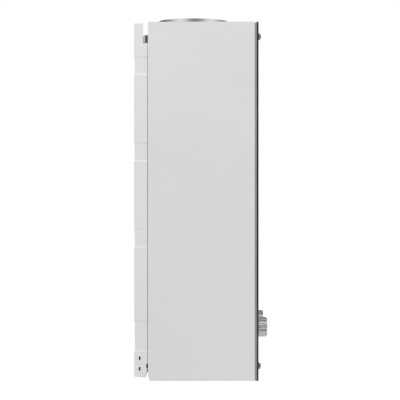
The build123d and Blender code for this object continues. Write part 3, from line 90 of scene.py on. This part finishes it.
# Each lamp's name, place, width and height, power, colour and the height it aims at
lamps = (
    ("key", (-1.2, 0.15, 1.45), (1.0, 1.0), 11.4, warm, 0.0),
    ("fill", (-0.5, -2.4, 1.9), (1.4, 1.8), 12.0, plain, 0.0),
    ("back", (1.8, -0.4, 1.6), (1.6, 1.6), 4.0, plain, 0.0),
    ("low", (-1.3, -0.3, -0.85), (1.2, 0.5), 1.3, plain, -0.2),
)

# Materials
patch_detail = 4.0
patch_low = 0.3
patch_high = 0.7
grain_detail = 3.0
# Painted shade on the casing hooks: their part more than this far in front of the wall is
# coloured dark, with a soft edge of this width
hook_shade_depth = 0.0168
hook_shade_blur = 0.0002
hook_painted_shade = (0.055, 0.055, 0.055)
thread_length = 0.0206
thread_pitch = 0.00181
thread_depth = 0.0006
# The scale at which a wave texture has one ridge in each metre
one_ridge = 0.3142

# Screw caps, which are domes over a short lip
cap_radius = 0.0055
cap_lip = 0.0009
cap_foot_share = 0.93
cap_lip_round = 0.4
dome_share = 0.97
dome_rings = 10
cap_sides = 48
cap_smooth_angle = 60.0
# The radius of the last ring of a turned form, which looks like a point
tip_radius = 0.00001

# Knobs, with so many flutes and so many sides to each
flute_count = 12
flute_sides = 12
flute_depth = 0.0013
flute_sharpness = 5.0
knob_smooth_angle = 35.0
knob_edge = 0.0006
face_rise = 0.0014
face_inset = 0.0013
dish_depth = 0.0003
pointer_width = 0.0014
pointer_proud = 0.0002
pointer_thickness = 0.0009
pointer_inner_share = 0.60
pointer_outer_share = 0.93
# Rings at a knob's rear: share of its radius, edges from its rear, and share of
# the flutes' depth
rear_rings = ((0.90, 0, 0), (0.96, 0.3, 0), (1, 1, 0.7), (1, 2, 1))
# Rings before its shoulder: edges off its radius, edges behind the shoulder, and
# share of the flutes' depth
shoulder_rings = ((0, 2, 1), (0, 1, 0.8), (0.6, 0.3, 0.4))
# Rings at the rim of its face: edges off the face's radius, and edges behind it
rim_rings = ((0, 0.5), (0.25, 0.15), (0.7, 0))
# Rings of the face's dish: share of the face's radius, and of the dish's depth
dish_rings = ((0.72, 0), (0.69, 1), (0, 1.3))

# Print on the glass, with a bar of a knob's scale at every so many degrees
print_rise = 0.00004
line_width = 0.0006
display_number = "42"
# Which of a figure's seven bars are lit: top, upper pair, middle, lower pair, bottom
lit_bars = {"4": (0, 1, 1, 1, 0, 1, 0), "2": (1, 0, 1, 1, 1, 0, 1)}
segment_width = 0.0018
segment_gap = 0.0003
figure_width = 0.0085
figure_pitch = 0.016
display_frame_share = 0.8
scale_spacing = 30.0
scale_radius = 0.024
scale_shortest = 0.002
scale_longest = 0.010
scale_bar_turn = 2.2
dot_gap = 0.002
dot_width = 0.0012


# Shader nodes
def node_tree(owner):
    """The empty node tree of a material or a world."""
    owner.use_nodes = True
    owner.node_tree.nodes.clear()
    return owner.node_tree


def wire(tree, source, output, target, inlet):
    tree.links.new(source.outputs[output], target.inputs[inlet])


def calculate(tree, operation, *sides):
    """A Math node over numbers and outputs, each output a pair of node and name.
    It is given back as such a pair."""
    result = tree.nodes.new("ShaderNodeMath")
    result.operation = operation
    for inlet, side in enumerate(sides):
        if isinstance(side, tuple):
            wire(tree, *side, result, inlet)
        else:
            result.inputs[inlet].default_value = side
    return result, "Value"


def noise(tree, scale, detail, stretch=(1, 1, 1)):
    """A noise over the object's own coordinates in metres."""
    place = tree.nodes.new("ShaderNodeTexCoord")
    mapping = tree.nodes.new("ShaderNodeMapping")
    mapping.inputs["Scale"].default_value = stretch
    wire(tree, place, "Object", mapping, "Vector")
    texture = tree.nodes.new("ShaderNodeTexNoise")
    texture.inputs["Scale"].default_value = scale
    texture.inputs["Detail"].default_value = detail
    wire(tree, mapping, "Vector", texture, "Vector")
    return texture


def ramp(tree, source, output, stops):
    """A colour ramp over a value; stops are pairs of place and colour."""
    colours = tree.nodes.new("ShaderNodeValToRGB")
    first, last = colours.color_ramp.elements
    first.position, last.position = stops[0][0], stops[-1][0]
    first.color, last.color = (*stops[0][1], 1), (*stops[-1][1], 1)
    for place, colour in stops[1:-1]:
        colours.color_ramp.elements.new(place).color = (*colour, 1)
    wire(tree, source, output, colours, "Fac")
    return colours


def spread(tree, source, output, low, high):
    """Turns a value from 0 to 1 into a range of values."""
    change = tree.nodes.new("ShaderNodeMapRange")
    change.inputs["To Min"].default_value = low
    change.inputs["To Max"].default_value = high
    wire(tree, source, output, change, "Value")
    return change


def share_between(tree, source, output, low, high):
    """How far a value is from low to high, from 0 to 1."""
    share = tree.nodes.new("ShaderNodeMapRange")
    share.inputs["From Min"].default_value = low
    share.inputs["From Max"].default_value = high
    wire(tree, source, output, share, "Value")
    return share


def along(tree, axis, low, high):
    """How far a place is between two heights or depths, from 0 to 1."""
    place = tree.nodes.new("ShaderNodeTexCoord")
    parts = tree.nodes.new("ShaderNodeSeparateXYZ")
    wire(tree, place, "Object", parts, "Vector")
    return share_between(tree, parts, axis, low, high)


def bump(tree, source, output, height, shader):
    dent = tree.nodes.new("ShaderNodeBump")
    dent.inputs["Distance"].default_value = height
    wire(tree, source, output, dent, "Height")
    wire(tree, dent, "Normal", shader, "Normal")


# Materials
def surface(name, dark, light, rough, metal=0.0, grain=400.0, grain_height=0.00005,
            patch=9.0, stretch=(1, 1, 1), coat=0.0, ior=1.5, shine=0.5):
    """A surface whose colour and roughness vary softly, with a fine grain."""
    material = bpy.data.materials.new(name)
    tree = node_tree(material)
    output = tree.nodes.new("ShaderNodeOutputMaterial")
    shader = tree.nodes.new("ShaderNodeBsdfPrincipled")
    shader.inputs["Metallic"].default_value = metal
    shader.inputs["Coat Weight"].default_value = coat
    shader.inputs["IOR"].default_value = ior
    shader.inputs["Specular IOR Level"].default_value = shine
    patches = noise(tree, patch, patch_detail)
    colours = ramp(tree, patches, "Fac", [(patch_low, dark), (patch_high, light)])
    wire(tree, colours, "Color", shader, "Base Color")
    fine = noise(tree, grain, grain_detail, stretch)
    gloss = spread(tree, fine, "Fac", *rough)
    wire(tree, gloss, "Result", shader, "Roughness")
    bump(tree, fine, "Fac", grain_height, shader)
    wire(tree, shader, "BSDF", output, "Surface")
    return material


def shader_of(material):
    tree = material.node_tree
    return tree, next(node for node in tree.nodes if node.type == "BSDF_PRINCIPLED")


def paint_shade_along(material, axis, low, high, colour):
    """Painted shade: the material turns to a shade colour between two places along an axis."""
    tree, shader = shader_of(material)
    before = shader.inputs["Base Color"].links[0].from_socket
    blend = tree.nodes.new("ShaderNodeMix")
    blend.data_type = "RGBA"
    ends = [socket for socket in blend.inputs if socket.type == "RGBA"]
    wire(tree, along(tree, axis, low, high), "Result", blend, "Factor")
    tree.links.new(before, ends[0])
    ends[1].default_value = (*colour, 1)
    result = next(socket for socket in blend.outputs if socket.type == "RGBA")
    tree.links.new(result, shader.inputs["Base Color"])


def threaded(material, top):
    """Cuts a thread into a round end below a height, in place of the grain."""
    tree, shader = shader_of(material)
    ridges = tree.nodes.new("ShaderNodeTexWave")
    ridges.bands_direction = "Z"
    ridges.inputs["Scale"].default_value = one_ridge / thread_pitch
    place = tree.nodes.new("ShaderNodeTexCoord")
    wire(tree, place, "Object", ridges, "Vector")
    inside = along(tree, "Z", top, top - thread_pitch / 4)
    cut = calculate(tree, "MULTIPLY", (ridges, "Fac"), (inside, "Result"))
    bump(tree, *cut, thread_depth, shader)


def use(material, *names):
    for name in names:
        slots = nodes[name].material_slots
        for slot in slots:
            slot.material = material
        if not slots:
            nodes[name].data.materials.append(material)


white = surface(
    "white_enamel", (0.715, 0.718, 0.708), (0.735, 0.738, 0.728), (0.30, 0.38),
    grain=900.0, grain_height=0.00003, patch=6.0,
)
plate_white = surface(
    "plate_enamel", (0.745, 0.75, 0.745), (0.77, 0.772, 0.765), (0.34, 0.42),
    grain=900.0, grain_height=0.00004, patch=7.0,
)
grey = surface(
    "grey_paint", (0.25, 0.243, 0.275), (0.285, 0.277, 0.305), (0.5, 0.6),
    grain=1200.0, grain_height=0.00004,
)
glass = surface(
    "dark_glass", (0.005, 0.0055, 0.0045), (0.007, 0.0075, 0.006), (0.04, 0.08),
    grain=30.0, grain_height=0.000002, patch=4.0, ior=1.52, shine=0.36,
)
steel = surface(
    "bright_steel", (0.50, 0.51, 0.52), (0.60, 0.61, 0.62), (0.16, 0.24),
    metal=1.0, grain=260.0, grain_height=0.000012, patch=14.0, stretch=(1, 1, 18),
)
# Painted reflection: the chrome's colour is made dark to stand for the black glass that the
# small domes reflect
chrome_painted_dark = surface(
    "chrome_cap_painted_dark", (0.115, 0.108, 0.10), (0.155, 0.147, 0.138), (0.10, 0.16),
    metal=1.0, grain=700.0, grain_height=0.000004, patch=60.0,
)
satin = surface(
    "satin_knob", (0.42, 0.42, 0.435), (0.51, 0.505, 0.515), (0.24, 0.34),
    metal=0.65, grain=500.0, grain_height=0.00001, patch=40.0, stretch=(1, 8, 1),
)
zinc = surface(
    "zinc_plate", (0.33, 0.34, 0.345), (0.42, 0.43, 0.43), (0.32, 0.5),
    metal=1.0, grain=120.0, grain_height=0.00001, patch=70.0,
)
# The hooks' zinc, with painted shade over their front part
hook_metal_painted_shade = surface(
    "hook_zinc_painted_shade", (0.47, 0.475, 0.47), (0.52, 0.525, 0.52), (0.4, 0.5),
    grain=500.0, grain_height=0.00002, patch=60.0,
)
stainless = surface(
    "stainless_heat", (0.22, 0.20, 0.17), (0.40, 0.39, 0.37), (0.3, 0.45),
    metal=1.0, grain=300.0, grain_height=0.00001, patch=26.0, stretch=(1, 1, 14),
)
copper = surface(
    "copper_sheet", (0.43, 0.19, 0.10), (0.60, 0.29, 0.17), (0.28, 0.45),
    metal=1.0, grain=220.0, grain_height=0.00001, patch=20.0,
)
brass, thread_brass = (
    surface(
        name, (0.44, 0.31, 0.14), (0.56, 0.41, 0.20), (0.28, 0.42),
        metal=1.0, grain=500.0, grain_height=0.00002, patch=45.0,
    )
    for name in ("brass_casting", "threaded_brass")
)
die_cast = surface(
    "die_casting", (0.27, 0.28, 0.29), (0.34, 0.35, 0.36), (0.4, 0.55),
    metal=1.0, grain=700.0, grain_height=0.00004, patch=40.0,
)
dark_plastic = surface(
    "dark_plastic", (0.018, 0.019, 0.021), (0.026, 0.027, 0.03), (0.42, 0.55),
    grain=1600.0, grain_height=0.00004, patch=30.0,
)
grey_plastic = surface(
    "grey_plastic", (0.09, 0.095, 0.10), (0.12, 0.125, 0.13), (0.42, 0.55),
    grain=1500.0, grain_height=0.00004, patch=30.0,
)
board = surface(
    "coated_board", (0.02, 0.13, 0.05), (0.04, 0.18, 0.08), (0.3, 0.45),
    grain=500.0, grain_height=0.00002, patch=120.0,
)
ceramic = surface(
    "glazed_ceramic", (0.72, 0.69, 0.62), (0.80, 0.78, 0.72), (0.15, 0.25),
    grain=600.0, grain_height=0.00001, patch=80.0, coat=0.4,
)
cell_wrap = surface(
    "cell_wrap", (0.05, 0.09, 0.15), (0.08, 0.12, 0.19), (0.25, 0.4),
    grain=400.0, grain_height=0.00001, patch=40.0, coat=0.3,
)
lead_cover = surface(
    "lead_cover", (0.035, 0.028, 0.027), (0.055, 0.045, 0.043), (0.5, 0.65),
    grain=900.0, grain_height=0.00003, patch=50.0,
)
rubber = surface(
    "diaphragm_rubber", (0.018, 0.018, 0.018), (0.03, 0.03, 0.03), (0.6, 0.75),
    grain=900.0, grain_height=0.00004, patch=60.0,
)
red_ink = surface(
    "red_ink", (0.50, 0.035, 0.03), (0.58, 0.05, 0.04), (0.25, 0.4),
    grain=900.0, grain_height=0.000004, patch=80.0,
)
pale_ink = surface(
    "pale_ink", (0.42, 0.43, 0.44), (0.50, 0.51, 0.52), (0.3, 0.45),
    grain=900.0, grain_height=0.000004, patch=80.0,
)
lit_ink = surface(
    "lit_ink", (0.70, 0.12, 0.05), (0.80, 0.18, 0.08), (0.3, 0.4),
    grain=900.0, grain_height=0.000004, patch=80.0,
)
# Painted shade: the hooks' front part is darkened as if in shadow
paint_shade_along(hook_metal_painted_shade, "Y", hook_shade_blur - hook_shade_depth, -hook_shade_blur - hook_shade_depth, hook_painted_shade)
threaded(thread_brass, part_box("gas_inlet")[0][2] + thread_length)

use(white, "casing")
use(plate_white, "back_plate")
use(grey, "backing_panel")
use(glass, "glass_panel")
use(chrome_painted_dark, "screw_caps")
use(satin, "gas_knob", "water_knob")
use(steel, "flue_collar", "battery_contacts", "microswitch_lever",
    "overheat_thermostat", "spill_sensor")
use(zinc, "burner_frame", "case_screws", "casing_brackets", "chamber_brackets",
    "cover_screws", "draught_hood", "gas_manifold", "gas_solenoid", "glass_screws",
    "hood_bracket", "switch_bracket", "valve_bracket")
use(hook_metal_painted_shade, "casing_hooks")
use(stainless, "burner_blades")
use(copper, "chamber_coil", "combustion_chamber", "exchanger_bends", "gas_pipe",
    "heat_exchanger", "hot_pipe")
use(brass, "diaphragm_cover", "gas_nozzles", "gas_spindle", "pipe_nuts", "push_rod",
    "water_spindle", "water_valve")
use(thread_brass, "cold_inlet", "gas_inlet", "hot_outlet")
use(die_cast, "gas_valve")
use(dark_plastic, "battery_box", "battery_lid", "display_housing", "drain_plug",
    "microswitch")
use(grey_plastic, "controller")
use(board, "display_board")
use(ceramic, "flame_sensor", "ignition_electrode")
use(cell_wrap, "battery_cells")
use(lead_cover, "battery_lead", "ignition_lead", "sensor_lead", "solenoid_lead")
use(rubber, "diaphragm")


# Pieces
def box_of(name):
    """A node's low corner, high corner, middle and size."""
    low, high = (Vector(corner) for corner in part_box(name))
    return low, high, (low + high) / 2, high - low


def added(name, data):
    """A new object in the scene."""
    made = bpy.data.objects.new(name, data)
    bpy.context.scene.collection.objects.link(made)
    return made


def piece(name, vertices, faces, material, body, smooth_angle=40.0):
    """A mesh piece that rides on a body."""
    mesh = bpy.data.meshes.new(name)
    mesh.from_pydata(vertices, [], faces)
    mesh.validate()
    mesh.materials.append(material)
    made = added(name, mesh)
    mesh.shade_smooth()
    mesh.set_sharp_from_angle(angle=math.radians(smooth_angle))
    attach(made, body)
    return made


def turned_rings(rings, centre, sides, waves=0):
    """Vertices and faces of a form turned about a line along Y.
    Each ring gives a radius, a place along Y and how deep its flutes are."""
    vertices = []
    faces = []
    for radius, depth, flute in rings:
        for step in range(sides):
            angle = 2 * math.pi * step / sides
            dip = flute * (0.5 - 0.5 * math.cos(waves * angle)) ** flute_sharpness
            reach = radius - dip
            vertices.append((
                centre[0] + reach * math.sin(angle),
                centre[1] + depth,
                centre[2] + reach * math.cos(angle),
            ))
    for row in range(len(rings) - 1):
        for step in range(sides):
            after = (step + 1) % sides
            faces.append((
                row * sides + step,
                row * sides + after,
                (row + 1) * sides + after,
                (row + 1) * sides + step,
            ))
    last = (len(rings) - 1) * sides
    faces.append(tuple(range(sides)))
    faces.append(tuple(last + step for step in reversed(range(sides))))
    return vertices, faces


def joined(meshes):
    """One list of vertices and one of faces, from several."""
    vertices = []
    faces = []
    for more_vertices, more_faces in meshes:
        start = len(vertices)
        vertices += more_vertices
        faces += [tuple(start + corner for corner in face) for face in more_faces]
    return vertices, faces


# Caps: smooth chrome domes over the four glass screws
def cap_rings(height):
    rings = [
        (cap_radius * cap_foot_share, 0, 0),
        (cap_radius, -cap_lip * cap_lip_round, 0),
        (cap_radius, -cap_lip, 0),
    ]
    for step in range(1, dome_rings + 1):
        angle = math.pi / 2 * step / dome_rings
        rings.append((
            cap_radius * dome_share * math.cos(angle) + tip_radius,
            -cap_lip - (height - cap_lip) * math.sin(angle),
            0,
        ))
    return rings


def make_caps():
    low, high = box_of("screw_caps")[:2]
    rings = cap_rings(high[1] - low[1])
    caps = [
        turned_rings(rings, (across, high[1], up), cap_sides)
        for across in (low[0] + cap_radius, high[0] - cap_radius)
        for up in (low[2] + cap_radius, high[2] - cap_radius)
    ]
    domes = piece("domed_caps", *joined(caps), chrome_painted_dark, "root", cap_smooth_angle)
    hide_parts("screw_caps")


# Knobs: fluted grips with a turned face and an inlaid pointer
def knob_rings(radius, length):
    """The rings of a knob, from its rear to the middle of its face."""
    face = radius - face_inset
    shoulder = face_rise - length
    front = pointer_proud - length
    rings = [
        (radius * share, -knob_edge * edges, flute_depth * flute)
        for share, edges, flute in rear_rings
    ]
    rings += [
        (radius - knob_edge * off, shoulder + knob_edge * edges, flute_depth * flute)
        for off, edges, flute in shoulder_rings
    ]
    rings += [(face + knob_edge / 2, shoulder, 0), (face, shoulder, 0)]
    rings += [
        (face - knob_edge * off, front + knob_edge * edges, 0)
        for off, edges in rim_rings
    ]
    rings += [
        (max(face * share, tip_radius), front + dish_depth * dip, 0)
        for share, dip in dish_rings
    ]
    return rings


def bar_block(centre, width, inner, outer, rear, front):
    """Corners and faces of a bar that stands on end, from rear to front."""
    corners = [
        (centre[0] + side * width / 2, depth, centre[2] + up)
        for depth in (rear, front)
        for side, up in ((-1, inner), (1, inner), (1, outer), (-1, outer))
    ]
    faces = [
        (0, 1, 2, 3), (7, 6, 5, 4), (0, 4, 5, 1),
        (1, 5, 6, 2), (2, 6, 7, 3), (3, 7, 4, 0),
    ]
    return corners, faces


def make_knob(name):
    low, high, centre, size = box_of(name)
    body = name + "_body"
    radius = size[2] / 2
    face = radius - face_inset
    turned = turned_rings(
        knob_rings(radius, size[1]),
        (centre[0], high[1], centre[2]),
        flute_count * flute_sides,
        flute_count,
    )
    grip = piece(name + "_fluted", *turned, satin, body, knob_smooth_angle)
    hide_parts(name)
    pointer = bar_block(
        centre,
        pointer_width,
        face * pointer_inner_share,
        face * pointer_outer_share,
        low[1] + pointer_thickness,
        low[1],
    )
    piece(name + "_pointer", *pointer, red_ink, body)


# Print on the glass: a display and a scale round each knob
def printed(name, outlines, ink):
    """Flat shapes on the glass, each given by its corners across and up."""
    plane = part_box("glass_panel")[0][1] - print_rise
    shapes = [
        ([(across, plane, up) for across, up in outline], [tuple(range(len(outline)))])
        for outline in outlines
    ]
    piece(name, *joined(shapes), ink, "root")


def bar_shape(across, up, width, height):
    return [
        (across + width / 2 * x, up + height / 2 * z)
        for x, z in ((-1, -1), (1, -1), (1, 1), (-1, 1))
    ]


def segment(across, up, upright):
    """One bar of a figure, pointed at both ends."""
    half = figure_width / 2 - segment_gap
    point = segment_width / 2
    shape = [
        (-half, 0), (point - half, -point), (half - point, -point),
        (half, 0), (half - point, point), (point - half, point),
    ]
    if upright:
        shape = [(z, x) for x, z in reversed(shape)]
    return [(across + x, up + z) for x, z in shape]


def figure_shapes(figure, across, up):
    """The lit bars of one figure of seven."""
    half = figure_width / 2
    spots = (
        (0, figure_width, False),
        (-half, half, True),
        (half, half, True),
        (0, 0, False),
        (-half, -half, True),
        (half, -half, True),
        (0, -figure_width, False),
    )
    return [
        segment(across + x, up + z, upright)
        for lit, (x, z, upright) in zip(lit_bars[figure], spots) if lit
    ]


def make_display():
    centre, size = box_of("display_housing")[2:]
    figures = []
    for place, figure in enumerate(display_number):
        step = place - (len(display_number) - 1) / 2
        figures += figure_shapes(figure, centre[0] + step * figure_pitch, centre[2])
    printed("display_figures", figures, lit_ink)
    width, height = (display_frame_share * size[axis] for axis in (0, 2))
    bars = []
    for way in (-0.5, 0.5):
        bars.append(bar_shape(centre[0], centre[2] + way * height, width, line_width))
        bars.append(bar_shape(centre[0] + way * width, centre[2], line_width, height))
    printed("display_frame", bars, pale_ink)


def spot_round(centre, radius, angle):
    """A place across and up, at an angle from the top round a knob."""
    return (centre[0] + radius * math.sin(angle), centre[2] + radius * math.cos(angle))


def make_scales():
    """Bars that grow from each knob's pointer at rest to where it stops, which
    is anticlockwise, with a dot at the foot of each."""
    bars = []
    dots = []
    turn = math.radians(scale_bar_turn)
    for name in ("gas_knob", "water_knob"):
        centre = box_of(name)[2]
        joint = next(row for row in frame["joints"] if row["name"] == name + "_turn")
        travel = joint["range_deg"][1]
        steps = round(travel / scale_spacing)
        for step in range(steps + 1):
            share = step / steps
            angle = -math.radians(travel * share)
            inner = scale_radius
            outer = inner + scale_shortest + (scale_longest - scale_shortest) * share
            ends = ((inner, -turn), (inner, turn), (outer, turn), (outer, -turn))
            bars.append([
                spot_round(centre, radius, angle + lean) for radius, lean in ends
            ])
            spot = spot_round(centre, scale_radius - dot_gap, angle)
            dots.append(bar_shape(*spot, dot_width, dot_width))
    printed("knob_scales", bars, red_ink)
    printed("knob_dots", dots, pale_ink)


make_caps()
make_knob("gas_knob")
make_knob("water_knob")
make_display()
make_scales()


# Stage: a floor well below the hung heater, a sky, lamps and the camera
def any_ray(tree, first_kind, *kinds):
    """One for a ray of any of these kinds."""
    rays = tree.nodes.new("ShaderNodeLightPath")
    found = rays, f"Is {first_kind} Ray"
    for kind in kinds:
        found = calculate(tree, "MAXIMUM", found, (rays, f"Is {kind} Ray"))
    return found


def make_floor():
    """A pale floor that glows where the camera or a shiny surface sees it, and
    that is clear from below."""
    half = floor_size / 2
    corners = [(-half, -half, 0), (half, -half, 0), (half, half, 0), (-half, half, 0)]
    mesh = bpy.data.meshes.new("floor")
    mesh.from_pydata(corners, [], [(0, 1, 2, 3)])
    floor = added("floor", mesh)
    floor.location = (0, 0, cad_box[0][2] - floor_drop)
    material = bpy.data.materials.new("pale_floor")
    tree = node_tree(material)
    output = tree.nodes.new("ShaderNodeOutputMaterial")
    matt = tree.nodes.new("ShaderNodeBsdfDiffuse")
    matt.inputs["Color"].default_value = floor_colour
    glow = tree.nodes.new("ShaderNodeEmission")
    seen = any_ray(tree, "Glossy", "Transmission", "Camera")
    strength = spread(tree, *seen, 0.0, floor_glow)
    wire(tree, strength, "Result", glow, "Strength")
    both = tree.nodes.new("ShaderNodeAddShader")
    wire(tree, matt, "BSDF", both, 0)
    wire(tree, glow, "Emission", both, 1)
    clear = tree.nodes.new("ShaderNodeBsdfTransparent")
    under = tree.nodes.new("ShaderNodeNewGeometry")
    sided = tree.nodes.new("ShaderNodeMixShader")
    wire(tree, under, "Backfacing", sided, "Fac")
    wire(tree, both, "Shader", sided, 1)
    wire(tree, clear, "BSDF", sided, 2)
    wire(tree, sided, "Shader", output, "Surface")
    mesh.materials.append(material)


def studio_level(tree):
    """How bright the studio is in a ray's direction round the horizon."""
    direction = tree.nodes.new("ShaderNodeTexCoord")
    parts = tree.nodes.new("ShaderNodeSeparateXYZ")
    wire(tree, direction, "Generated", parts, "Vector")
    forward, left = (
        calculate(tree, "MULTIPLY", (parts, axis), -1) for axis in ("Y", "X")
    )
    bearing = calculate(tree, "ARCTAN2", forward, left)
    around = share_between(tree, *bearing, -math.pi, math.pi)
    stops = [((degrees + 180) / 360, (level,) * 3) for degrees, level in studio_bands]
    return ramp(tree, around, "Result", stops)


def make_sky():
    """A pale sky as light, the studio's bands in shiny surfaces, and a white
    backdrop for the camera."""
    world = bpy.data.worlds.new("sky")
    bpy.context.scene.world = world
    tree = node_tree(world)
    output = tree.nodes.new("ShaderNodeOutputWorld")
    sky, studio, backdrop = (
        tree.nodes.new("ShaderNodeBackground") for layer in range(3)
    )
    sky.inputs["Color"].default_value = sky_colour
    sky.inputs["Strength"].default_value = sky_strength
    backdrop.inputs["Color"].default_value = backdrop_colour
    wire(tree, studio_level(tree), "Color", studio, "Color")
    shiny = tree.nodes.new("ShaderNodeMixShader")
    wire(tree, *any_ray(tree, "Glossy"), shiny, "Fac")
    wire(tree, sky, "Background", shiny, 1)
    wire(tree, studio, "Background", shiny, 2)
    mix = tree.nodes.new("ShaderNodeMixShader")
    wire(tree, *any_ray(tree, "Camera", "Transmission"), mix, "Fac")
    wire(tree, shiny, "Shader", mix, 1)
    wire(tree, backdrop, "Background", mix, 2)
    wire(tree, mix, "Shader", output, "Surface")


def make_lamp(name, place, size, power, colour, aim_height):
    light = bpy.data.lights.new(name, "AREA")
    light.shape = "RECTANGLE"
    light.size, light.size_y = size
    light.energy = power
    light.color = colour
    lamp = added(name, light)
    lamp.location = place
    aim = Vector((0, camera_y, aim_height)) - Vector(place)
    lamp.rotation_euler = aim.to_track_quat("-Z", "Y").to_euler()


def make_camera():
    """A level camera that looks along +X at the side at the front's left."""
    view = bpy.data.cameras.new("camera")
    view.sensor_width = sensor_millimetres
    view.lens = sensor_millimetres * focal_pixels / photo_pixels
    camera = added("camera", view)
    near_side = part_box("casing")[0][0]
    camera.location = (near_side - camera_distance, camera_y, camera_z)
    camera.rotation_euler = (math.radians(90), 0, math.radians(-90))
    bpy.context.scene.camera = camera


make_floor()
make_sky()
for lamp_values in lamps:
    make_lamp(*lamp_values)
make_camera()
bpy.context.scene.view_settings.view_transform = "Standard"
